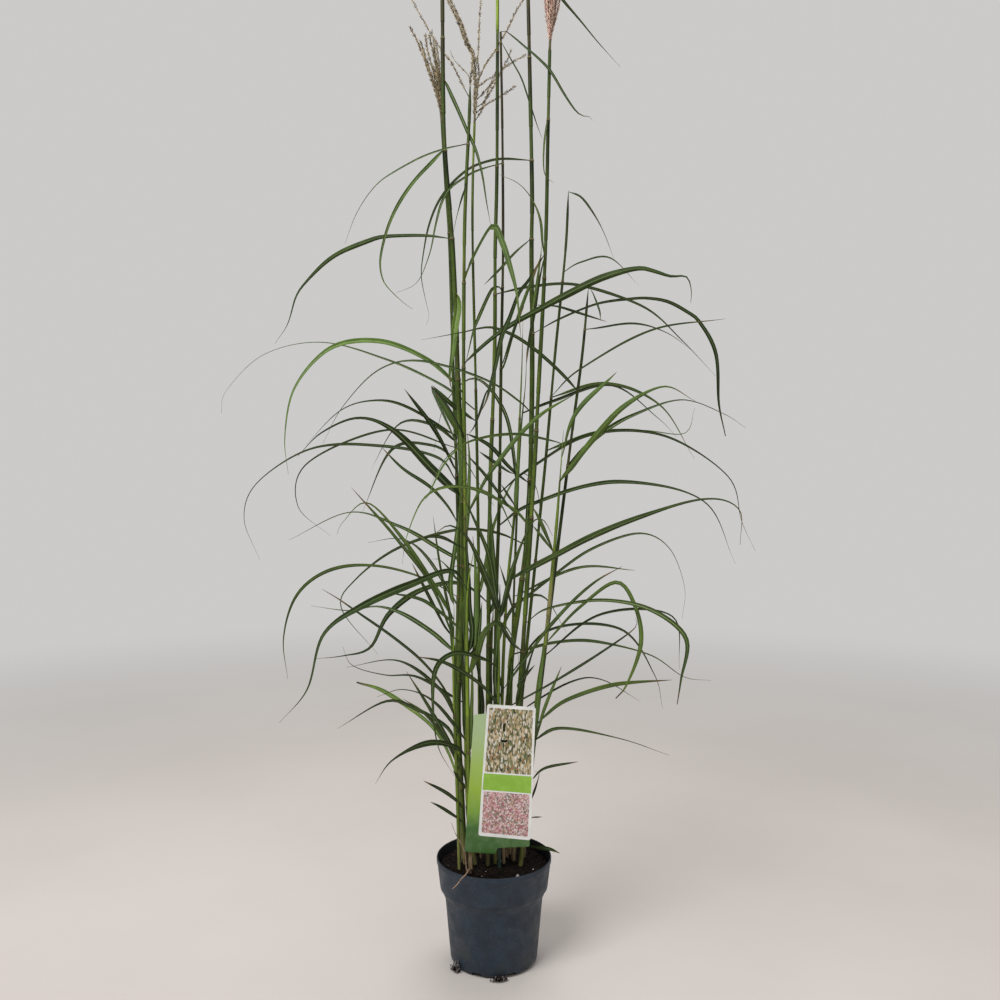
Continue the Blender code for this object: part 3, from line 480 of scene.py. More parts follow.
def smooth(points, count):
    """Evenly spaced points on a smooth line through the given points."""
    line = np.array(points, dtype=float)
    ends = np.vstack((2 * line[0] - line[1], line, 2 * line[-1] - line[-2]))
    fine = []
    for a, b, c, d in zip(ends, ends[1:], ends[2:], ends[3:]):
        for t in np.arange(16) / 16:
            fine.append(0.5 * (2 * b + (c - a) * t + (2 * a - 5 * b + 4 * c - d) * t ** 2
                               + (3 * b - a - 3 * c + d) * t ** 3))
    fine = np.array(fine + [line[-1]])
    along = np.concatenate(([0], np.cumsum(np.linalg.norm(np.diff(fine, axis=0), axis=1))))
    wanted = np.linspace(0, along[-1], count)
    return np.column_stack([np.interp(wanted, along, fine[:, k]) for k in range(line.shape[1])])


for node, angle, size, tall in (("root_tuft_left", -2.50, 0.0125, 0.0170),
                                ("root_tuft_front", -1.46, 0.0155, 0.0068)):
    out = np.array((math.cos(angle), math.sin(angle), 0.0))
    aside = np.array((-math.sin(angle), math.cos(angle), 0.0))

    def tuft_point(forth, side, rise):
        """A place in the tangle: how far out of the notch, how far aside, and how high, all up to 1."""
        hood = math.sqrt(max(0.0, 1 - min(1.0, side * side)))
        high = 0.0009 + tall * rise * (0.3 + 0.7 * hood) * (1 - 0.6 * forth)
        return (0.0735 + 0.0115 * forth * (0.35 + 0.65 * hood)) * out + size * side * aside + (0.0, 0.0, high)

    spots = []
    for number in range(PEAT_BITS):
        forth, side = chance.uniform(0.05, 0.75), held(-0.85, chance.gauss(0, 0.45), 0.85)
        bulk = chance.uniform(0.0006, 0.0015)
        axes = random_axes(chance, bulk, bulk * 0.8, bulk * 0.6)
        spot = tuft_point(forth, side, 0.7 * chance.random() ** 2)
        spots.append((spot + (0, 0, bulk), axes, 0.6 * chance.random()))
    pieces = [copies("peat_bits", crumb, spots)]
    for number in range(ROOTS):
        first, last = chance.uniform(-0.8, 0.8), chance.uniform(-0.97, 0.97)
        far, climb = chance.uniform(0.55, 1.0), chance.uniform(0.0, 1.0) ** 1.5
        drop = chance.uniform(0.3, 1.0)
        route = []
        for share in np.arange(9) / 8:
            crook = 0.16 * noise.noise((4.5 * share, number, 3 * angle))
            lift = 0.20 * noise.noise((5.5 * share, number, 5 * angle))
            route.append(tuft_point(held(0.0, far * share + crook, 1.0),
                                    held(-1.0, first + (last - first) * share ** 1.3 + crook, 1.0),
                                    held(0.0, climb * (1 - drop * share) + lift, 1.0)))
        thick = chance.uniform(0.00014, 0.00040)
        radii = np.linspace(thick, 0.35 * thick, 16)
        pieces.append(rod("root", smooth(route, 16), radii, 5, chance.choice(ROOT_TONES)))
    tuft = joined(node + "_roots", *pieces)
    loose.dress(tuft)
    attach(tuft, "root")
    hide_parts(node)
bpy.data.objects.remove(crumb)

# Blades of grass that grow out singly: each is one strip of green leaf with a pale midrib, folded along it,
# that clasps its cane at its foot, arches over and dries out at its tip. Before them come the canes' lines,
# which the blades start from.

# Each cane: name, root (x, y), depth behind the axis at its top, radius at its foot and top, its line as seen
# from the front in centimetres, its tone from dark to bright, its kind, and the heights of its joints.
CANES = [
    ("stem_left_tall", (-4.7, -1.0), -3.0, 0.5, 0.3,
     [(-5.5, 30), (-6, 42), (-5.2, 60), (-5.3, 75), (-5.9, 95), (-6.8, 117.3), (-8.2, 136), (-8.5, 160)], 0.4, "tall",
     [28, 46, 75.7, 96, 119.1, 133.7, 152]),
    ("stem_left_behind", (-5.2, 1.0), 4.0, 0.38, 0.19,
     [(-6, 30), (-6.4, 42), (-5.9, 60), (-6, 75), (-6.7, 95), (-7.3, 117), (-8, 128), (-8.6, 138)], 0.3, "cane",
     [38, 60, 80, 101, 120]),
    ("stem_left_second", (-3.0, -1.4), -5.0, 0.38, 0.24,
     [(-4.4, 25), (-4.6, 45), (-4.7, 70), (-5, 95), (-4.9, 117.3), (-4.6, 128), (-4.1, 138), (-3.9, 145)], 0.5,
     "branched",
     [25, 48, 73.2, 97.8, 111.9, 134.6]),
    ("stem_thin", (-2.2, 1.4), 3.0, 0.28, 0.19,
     [(-2.4, 40), (-2.6, 70), (-3, 94.2), (-3.5, 117), (-3.5, 128), (-3.2, 138)], 0.45, "cane",
     [33, 61, 94.1, 115, 131]),
    ("stem_centre", (-1.0, -1.6), -1.0, 0.38, 0.24,
     [(-1, 40), (-0.7, 75), (0.1, 100), (0.2, 117), (0.5, 131), (0.6, 160)], 0.42, "cane",
     [30, 52, 70, 89.2, 109.8, 131, 150]),
    ("stem_brown", (0.4, 0.6), 1.5, 0.33, 0.18,
     [(0.2, 40), (0.4, 60), (0.9, 77), (1.2, 100), (1.5, 117), (1.4, 136), (1.1, 153)], 0.34, "brown",
     [34, 56, 80.5, 97.8, 111.2, 131.4, 151.3]),
    ("stem_middle", (1.6, -1.0), -4.0, 0.31, 0.14,
     [(1.3, 40), (2.1, 60), (3.5, 75), (4.5, 95), (4.8, 106)], 0.5, "cane",
     [36, 56.7, 73.5, 89.5, 103]),
    ("stem_middle_short", (2.6, 2.6), 5.0, 0.26, 0.14,
     [(3, 50), (4.2, 83), (5.2, 95), (5.4, 101)], 0.35, "cane",
     [40, 58.5, 78, 93]),
    ("stem_right_tall", (2.0, 1.7), 1.5, 0.5, 0.28,
     [(2.5, 45), (4.3, 60), (5.7, 73), (6.3, 95), (6.2, 117), (6.3, 126), (6, 142), (5.6, 160)], 0.34, "tall",
     [42, 62.9, 79.3, 103.3, 118.8, 132, 149]),
    ("stem_right_second", (3.2, 0.2), -5.0, 0.43, 0.24,
     [(3.3, 30), (4.7, 50), (6.5, 78), (7.4, 95), (8.5, 117), (8.9, 136), (9.2, 150)], 0.42, "cane",
     [30, 51, 73, 87.4, 112.6, 138.7]),
    ("stem_right_thin", (3.6, 3.4), 7.0, 0.28, 0.2,
     [(4.4, 40), (7.3, 70), (8.5, 82), (10.1, 100), (11.8, 117), (12.3, 127)], 0.35, "branched",
     [45, 66, 93, 112]),
    ("stem_right_outer", (5.0, 1.4), 5.0, 0.34, 0.2,
     [(6, 30), (8.6, 52), (10.8, 70), (12.9, 87), (14.6, 100), (15.6, 111)], 0.06, "branched",
     [31, 50, 81.6, 104]),
    ("stem_yellow", (4.4, -1.6), -4.0, 0.46, 0.2,
     [(6.6, 36), (7.4, 45), (8.6, 53), (10.2, 70), (10.9, 79), (11.5, 87.5)], 0.56, "yellow",
     [37, 51.6, 67.2, 79]),
    ("shoot_left", (-5.6, -3.4), -6.0, 0.33, 0.14,
     [(-6.2, 30), (-6.7, 45), (-6.6, 59)], 0.55, "shoot",
     [40]),
    ("shoot_bright", (-3.8, -3.4), -7.0, 0.45, 0.17,
     [(-4.2, 30), (-4.4, 45), (-4.4, 60), (-3.3, 68)], 0.6, "shoot",
     [34]),
    ("shoot_centre", (0.2, 2.8), 5.0, 0.36, 0.17,
     [(-0.2, 30), (-0.6, 45), (0, 59)], 0.5, "shoot",
     [38]),
    ("shoot_front", (0.2, -0.9), -4.5, 0.33, 0.14,
     [(0.4, 30), (0.8, 45), (0.9, 58)], 0.6, "shoot",
     [36]),
]
# Each blade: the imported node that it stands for, its cane, width, roll in degrees, depth of its tip, tone, and
# the places of its line, x and z in turn. LATE gives, by the first place of a line, the share of the blade's
# length at which it is widest.
BLADES = [
    ("leaf_left_low_1", "stem_left_second", 1.0, 74, -20.5, 0.4, -4.2, 33, -6, 34.6, -9.5, 35.7, -13, 35, -17.3, 32.4,
     -19.7, 28.8),
    ("leaf_left_low_2", "shoot_front", 0.89, 74, -22, 0.4, 0.5, 48, -2, 49.5, -6.5, 50.5, -9.7, 48, -10.2, 42, -9.3,
     35, -6.6, 30.1),
    ("leaf_left_low_3", "stem_left_behind", 0.89, 69, 10, 0.33, -6.5, 50.5, -10, 53.8, -15, 57, -19.5, 58.3, -24,
     57.6, -30.3, 58.4),
    ("leaf_left_top_4", "stem_right_tall", 0.46, 49, 9, 0.42, 6.1, 132, 1.5, 132.2, -1, 131.8, -3.5, 130.9, -5.4,
     129.6, -7.5, 127.5, -9.4, 124.7, -10.8, 121, -11.6, 117, -12, 113, -11.3, 109, -10.7, 106.4, -11.2, 104.9),
    ("leaf_left_middle_1", "shoot_bright", 1.35, 74, -24, 0.48, -4.4, 61, -7.2, 64.2, -14, 61.9, -22, 58.3, -28.3,
     53.6, -31, 44.5, -35.6, 39),
    ("leaf_left_middle_2", "shoot_centre", 1.15, 64, 20, 0.4, 0.2, 58, -5.5, 62, -12, 61, -17.5, 57, -20.5, 51.5, -25,
     50.1, -29.7, 49.6),
    ("leaf_left_middle_3", "stem_left_behind", 0.7, 69, 16, 0.6, -6, 60, -12, 63.1, -20, 65.05, -27.5, 64.2, -32.8,
     60, -34.9, 53, -34.2, 46.2),
    ("leaf_left_middle_4", "stem_right_tall", 0.62, 64, 16, 0.5, 5, 68.4, 0, 70.5, -6.5, 70.9, -16, 67.9, -23, 62.7,
     -25.3, 58, -19.2, 50.3),
    ("leaf_left_middle_5", "shoot_left", 0.68, 74, -14, 0.85, -6.6, 56, -10, 62, -15.5, 70, -21, 75.5, -25, 72.3, -26,
     70.3),
    ("leaf_left_upper_1", "stem_left_tall", 1.5, 74, -9, 0.28, -5.5, 76.4, -10, 80.8, -16.7, 87.5, -22.5, 89.5, -28.5,
     87.1, -32.5, 83.2),
    ("leaf_left_upper_2", "stem_right_second", 0.5, 59, -15, 0.3, 7.2, 89.5, 4.2, 92.2, -1.7, 95.9, -12, 98.9, -19,
     97.5, -25, 91.4, -28.3, 85.3),
    ("leaf_left_upper_3", "stem_left_behind", 0.6, 69, 13, 0.37, -6.2, 79, -9.5, 83, -19, 84.9, -30, 84.5, -39, 79,
     -41.4, 73, -38.8, 66),
    ("leaf_left_upper_4", "stem_thin", 0.6, 49, 12, 0.3, -2.9, 90.8, -9, 95.1, -18, 99.2, -28.5, 102, -38, 100, -44.3,
     94, -45.1, 90.3),
    ("leaf_left_upper_5", "stem_left_second", 1.0, 69, -17, 0.8, -4.9, 93.7, -11, 99, -19, 102.1, -27, 101, -32.9,
     94.6, -34.6, 86.5, -34.05, 80.2),
    ("leaf_left_upper_6", "stem_left_second", 1.0, 74, -27, 0.3, -4.6, 86, -7.5, 91, -10.3, 94.3, -8.5, 90, -4.5, 82,
     0, 75),
    ("leaf_left_front", "stem_middle", 0.5, 74, -26, 0.75, 2.9, 71, 0, 76.4, -6.5, 78.2, -11.5, 76.3, -14.4, 70,
     -15.2, 65.3),
    ("leaf_left_top_1", "stem_left_tall", 0.85, 64, 4, 0.5, -7.4, 119.1, -12, 119.6, -18, 119.4, -21, 118.6, -25, 117,
     -28, 115, -31, 112, -32.7, 109.5, -34.1, 105, -36.2, 101.8),
    ("leaf_left_top_2", "stem_left_tall", 0.66, 64, -13, 0.6, -7.8, 133.7, -9.5, 132.2, -12.5, 129.3, -15, 126, -16.8,
     122.8, -18, 119.4, -18.8, 115.5, -18.5, 112.8, -17.5, 111, -15, 108.6, -13.4, 107.5),
    ("leaf_left_top_3", "stem_left_second", 0.45, 54, -8, 0.39, -4.6, 134.6, -8, 133.8, -12, 132.4, -16.5, 130, -19,
     128.3, -21, 126, -22.8, 123, -24, 120, -24.6, 118.2),
    ("leaf_right_top_1", "stem_left_second", 1.18, 74, -20, 0.45, -4.8, 98.5, -1.2, 102, 3, 105, 8.5, 108, 15, 111.4,
     20, 113.4, 24, 114.2, 26.5, 113.7, 29.2, 112.9, 31.8, 112.8, 32.6, 110.5, 32.5, 108.5),
    ("leaf_right_top_2", "stem_centre", 0.55, 54, 7, 0.44, 0.3, 110, 6.5, 111.2, 14, 111.4, 24.8, 107.8, 31, 102.4,
     36.7, 96.4),
    ("leaf_right_top_3", "stem_right_tall", 0.72, 64, 15.5, 0.22, 6.4, 103.4, 11, 105.9, 17, 108.3, 23, 109.2, 26,
     109.2, 29, 108.6, 32, 107, 34, 105.3, 36.7, 100.2, 37.2, 92, 38.3, 86.5),
    ("leaf_front_fold", "stem_left_second", 1.1, 74, -24, 0.72, -5.1, 111.9, -3.6, 115.3, -0.2, 121, 1.5, 118.3, 2.6,
     115, 3.7, 110.5, 4.1, 107, 4.5, 102),
    ("leaf_right_middle_1", "stem_brown", 0.65, 59, 11, 0.28, 0.9, 77.3, 5.8, 81, 16, 86.7, 28, 86.6, 38.7, 79.9, 41,
     72.5, 43.3, 67.5),
    ("leaf_right_middle_2", "stem_yellow", 1.0, 74, -17, 0.85, 11, 79, 15, 84.3, 21, 91, 28, 94.7, 33.3, 92.3),
    ("leaf_right_middle_3", "stem_right_outer", 1.0, 49, 15, 0.21, 12.1, 81.6, 17.5, 86.6, 23, 89.9, 31, 92.5, 38,
     90.2, 41.6, 87.9),
    ("leaf_right_middle_4", "stem_middle", 1.15, 69, -12, 0.5, 2.5, 62.5, 9.2, 66.2, 20, 71.5, 34, 76, 40.5, 74.5,
     40.8, 68.5),
    ("leaf_right_middle_5", "stem_middle_short", 0.55, 54, 20, 0.3, 3.8, 58.2, 9.4, 63, 16, 67.7, 24, 70.4, 29, 68,
     31.6, 61.5, 31.2, 56.2),
    ("leaf_right_low_1", "stem_right_second", 0.8, 64, -20, 0.35, 4.9, 55.7, 9, 58, 18, 59.3, 26, 57.7, 31.8, 53, 31,
     46, 30.4, 42),
    ("leaf_right_low_2", "stem_yellow", 0.8, 74, -14.5, 0.75, 8.4, 52.2, 14, 58, 20.2, 62.3, 23.4, 58.2, 24.3, 52, 22,
     45.3, 20.2, 43),
    ("leaf_right_low_3", "stem_yellow", 1.0, 64, -12, 0.75, 6.8, 38.8, 12, 42.6, 20, 45.2, 29.5, 46.1),
]
LATE = {(-7.4, 119.1): 0.42, (-6, 60): 0.5, (-4.8, 98.5): 0.5, (6.4, 103.4): 0.68, (-4.4, 61): 0.3, (0.2, 58): 0.44,
        (8.4, 52.2): 0.68, (4.9, 55.7): 0.62, (-5.4, 29.5): 0.74, (11.2, 83): 0.6}
FOOT_HEIGHT = 0.1583


def seen(x, z, depth):
    """The real place, in metres, of a point that looks to be at x, z from the front."""
    flat = np.array((x, 0.0, z)) * CM
    return EYE + (flat - EYE) * (1.0 - depth * CM / EYE[1])


class Cane:
    """A cane's middle line from the soil up, its radius, and the heights of its joints and leaf collars."""

    def __init__(self, name, root, depth_top, foot_radius, top_radius, line, tone, kind, joints):
        foot = np.array((root[0] * CM, root[1] * CM, FOOT_HEIGHT))
        flat = EYE + (foot - EYE) * (EYE[1] / (EYE[1] - foot[1]))
        places = smooth([(flat[0] / CM, flat[2] / CM)] + line, 400)
        shares = (places[:, 1] - places[0, 1]) / (places[-1, 1] - places[0, 1])
        depths = root[1] + (depth_top - root[1]) * shares
        self.line = np.array([seen(x, z, depth) for (x, z), depth in zip(places, depths)])
        self.name, self.tone, self.kind, self.collars = name, tone, kind, []
        self.radii = (foot_radius * CM, top_radius * CM)
        self.joints = [self.nearest(z)[2] for z in joints]

    def at(self, height):
        """The place on the line at a height in metres."""
        return np.array([np.interp(height, self.line[:, 2], self.line[:, k]) for k in range(3)])

    def radius_at(self, height):
        """The radius in metres at a height in metres."""
        return float(np.interp(height, (self.line[0, 2], self.line[-1, 2]), self.radii))

    def nearest(self, z):
        """The place on the line that looks to be at height z from the front."""
        flat = EYE[2] + (self.line[:, 2] - EYE[2]) * EYE[1] / (EYE[1] - self.line[:, 1])
        return self.line[int(np.argmin(abs(flat - z * CM)))]


canes = {entry[0]: Cane(*entry) for entry in CANES}


def blade_route(cane, line, depth_tip, count):
    """A blade's middle line: off its cane's skin, then out to its tip with a depth that eases out."""
    start = cane.nearest(line[0][1])
    shares = np.linspace(0, 1, count)
    depths = start[1] / CM + (depth_tip - start[1] / CM) * (1 - (1 - shares) ** 1.6)
    out = np.array([seen(x, z, depth) for (x, z), depth in zip(smooth(line, count), depths)])
    later = out[count // 6] - start
    away = np.array((later[0], later[1], 0.0)) / math.hypot(later[0], later[1])
    foot = start + away * cane.radius_at(start[2]) * 0.8
    return out + (foot - out[0]) * np.clip(1 - shares / 0.22, 0, 1)[:, None] ** 2


def grass_blade(name, cane, width, roll, depth_tip, tone, *numbers):
    """A blade of grass: a strip folded along its midrib, clasping its cane, rolled, twisted and tapered.

    Its UV map runs across it and along it. Its tone goes from dark to bright green, and dry is the share of
    its length past which it has dried out. Its underside gets the second material, the same finish made
    darker as painted shade.
    """
    line = list(zip(numbers[::2], numbers[1::2]))
    chance = random.Random(f"{name} {line[0]} {line[-1]}")
    reach = np.linalg.norm(np.diff(line, axis=0), axis=1).sum()
    count = int(held(22, reach * 1.15, 72))
    middle = blade_route(cane, line, depth_tip, count)
    whole = middle[-1] - middle[0]
    steep = math.hypot(whole[0], whole[1]) < 0.4 * abs(whole[2])
    straight = math.dist(line[0], line[-1]) > 0.965 * reach
    across = np.array((1.0, 0.0, 0.0) if steep else (whole[1], -whole[0], 0.0)) * math.copysign(1.0, whole[0])
    ahead, sides = carried(middle, across)
    faces = [np.cross(side, way) for side, way in zip(sides, ahead)]
    roll = math.radians(90 - roll if steep else roll)
    shown = [sum(abs(math.cos(turn) * face[1] - math.sin(turn) * side[1]) for side, face in zip(sides, faces))
             for turn in (roll, -roll)]
    roll = roll if shown[0] > shown[1] else -roll
    flattest = int(np.argmin(abs(ahead[: max(4, count * 2 // 3), 2])))
    upper = math.copysign(1.0, faces[flattest][2])
    twist, dry = chance.uniform(-38, 38), chance.uniform(0.84, 0.97)
    ripple, phase = chance.uniform(0.03, 0.09), chance.uniform(0, 6.28)
    peak = LATE.get(line[0], chance.uniform(0.22, 0.42))
    dry = 0.95 if line[0] in LATE else dry
    points = []
    for share, place, side, face in zip(np.arange(count) / (count - 1), middle, sides, faces):
        turn = roll * min(1.0, 0.3 + share / 0.15) + math.radians(twist) * max(0.0, share - 0.25) ** 1.2
        a = math.cos(turn) * side + math.sin(turn) * face
        b = upper * (math.cos(turn) * face - math.sin(turn) * side)
        if steep:
            narrows = 1 - share ** 1.8
        elif straight:
            narrows = (0.5 + 0.5 * min(1.0, share / 0.5)) * (1 - share ** 4)
        else:
            past = max(0.0, share - peak) / 0.27
            narrows = 0.82 * math.exp(-past * past) + 0.18 * min(1.0, (1 - share) / 0.2)
        if line[0] in LATE:
            narrows *= 0.45 + 0.55 * min(1.0, share / peak)
        half = 0.5 * width * CM * max(0.03, min(1.0, 0.62 + share * reach / 8) * narrows)
        fold = math.radians(60 * max(0.0, 1 - share * reach / 1.2) ** 1.5 + 22 * (1 - share) + 13)
        for spot in (-1.0, -0.66, -0.33, 0.0, 0.33, 0.66, 1.0):
            wave = 1 + ripple * math.sin(phase + 21 * share * reach / 30 + spot) * abs(spot)
            points.append(place + half * wave * (spot * math.cos(fold) * a + abs(spot) ** 1.25 * math.sin(fold) * b))
    bpy.ops.object.select_all(action="DESELECT")
    bpy.ops.mesh.primitive_grid_add(x_subdivisions=6, y_subdivisions=count - 1, size=1)
    strip = made(name)
    mesh = strip.data
    mesh.vertices.foreach_set("co", np.array(points).ravel())
    mesh.update()
    if np.dot(np.array(mesh.polygons[flattest * 6 + 2].normal), upper * faces[flattest]) < 0:
        mesh.flip_normals()
    keep(mesh, "tone", [tone] * len(points))
    keep(mesh, "dry", [dry] * len(points))
    mesh.shade_smooth()
    mesh.materials.append(blade_top)
    mesh.materials.append(shaded_blade_under)
    return strip


ribs, ins, outs = effect_group("blade_ribs", [("Lines", 13.0)], ("Midrib", "Margin", "Veins"))
off = ribs.off(ribs.add("SeparateXYZ", ins["Place"]).outputs[0], 0.5)
ribs.feed(outs["Midrib"], ribs.spread(off, 0.095, 0.045))
ribs.feed(outs["Margin"], ribs.spread(off, 0.455, 0.485))
waves = ribs.maths("SINE", ribs.maths("MULTIPLY", ribs.maths("MULTIPLY", off, ins["Lines"]), 12.566))
ribs.feed(outs["Veins"], ribs.maths("MULTIPLY_ADD", waves, 0.5, 0.5))

streaks, ins, outs = effect_group("streaks", [("Across", 16.0), ("Along", 5.0), ("Low", 0.35), ("High", 0.68)])
drawn = streaks.add("CombineXYZ", ins["Across"], ins["Along"], 1.0).outputs[0]
drawn = streaks.add("VectorMath", ins["Place"], drawn, operation="MULTIPLY").outputs[0]
cloud = streaks.add("TexNoise", drawn, None, 1.0, 4.0, 0.6).outputs[0]
streaks.feed(outs["Mask"], streaks.spread(cloud, ins["Low"], ins["High"]))


def blade_finish(name, dark, middling, bright, rib, rib_strength, roughness):
    """A green blade's face: fine veins, a pale midrib, streaks, a thin margin and a dried tip."""
    green = Finish(name, roughness, specular=0.12)
    chart = green.add("UVMap").outputs[0]
    along = green.add("SeparateXYZ", chart).outputs[1]
    cloud = green.mask(patches, 28.0, 0.3, 0.7)
    shade = green.maths("ADD", green.kept("tone"), green.maths("MULTIPLY_ADD", cloud, 0.22, -0.11))
    base = green.ramp(shade, (0.0, dark), (0.5, middling), (1.0, bright))
    base = green.mix(green.mask(patches, 6.0, 0.44, 0.62), base, (0.82, 0.97, 2.0), 0.5, "MULTIPLY")
    streak = green.mask(streaks, 26.0, 5.0, 0.38, 0.66, place=chart)
    base = green.mix(streak, base, (1.55, 1.42, 1.1), 0.5, "MULTIPLY")
    lines = green.effect(ribs, chart, 6.5)
    base = green.mix(lines["Veins"], base, (0.62, 0.66, 0.6), 0.30, "MULTIPLY")
    fade = green.maths("MULTIPLY", green.spread(along, 1.0, 0.55), rib_strength)
    base = green.mix(lines["Midrib"], base, rib, fade)
    base = green.mix(lines["Margin"], base, (0.07, 0.045, 0.03), 0.5)
    base = green.mix(green.mask(specks, 700.0, 0.22, 0.05), base, (0.14, 0.08, 0.04), 0.6)
    start = green.maths("MULTIPLY_ADD", cloud, 0.06, green.maths("SUBTRACT", green.kept("dry"), 0.05))
    past = green.maths("DIVIDE", green.maths("SUBTRACT", along, start), 0.05, clamp=True)
    brown = green.mix(green.spread(along, 0.9, 1.0), (0.16, 0.11, 0.052), (0.060, 0.036, 0.027))
    base = green.mix(green.maths("COMPARE", past, 0.35, 0.3), base, (0.13, 0.12, 0.035), 0.35)
    green.finish(green.mix(past, base, brown), green.spread(streak, 0, 1, roughness - 0.06, roughness + 0.08),
                 (0.35, 0.0003, green.maths("ADD", lines["Veins"], lines["Midrib"])))
    return green.material


blade_top = blade_finish("blade_upper_face", (0.012, 0.021, 0.004), (0.050, 0.085, 0.016), (0.172, 0.275, 0.040),
                         (0.33, 0.41, 0.18), 0.72, 0.42)
# Painted shade: the under face is the upper face's finish made darker all over, for the shade that undersides sit in.
shaded_blade_under = blade_finish("blade_under_face", (0.009, 0.016, 0.004), (0.037, 0.061, 0.014), (0.120, 0.188, 0.032),
                           (0.19, 0.25, 0.11), 0.65, 0.50)
BLADE_WALL = {"thickness": 0.00032, "offset": -1, "material_offset": 1}

for node, cane_name, *numbers in BLADES:
    cane = canes[cane_name]
    cane.collars.append(cane.nearest(numbers[5])[2])
    strip = grass_blade(node, cane, *numbers)
    shaped(strip, "SOLIDIFY", **BLADE_WALL)
    strip.name = node + "_blade"
    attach(strip, "root")
    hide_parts(node)

# Canes: each is a hollow green stalk wrapped in leaf sheaths, bare and purplish above each joint, with a pale
# ring where a sheath ends, tan and dry at its foot. Small blades grow from its joints and are one with it.

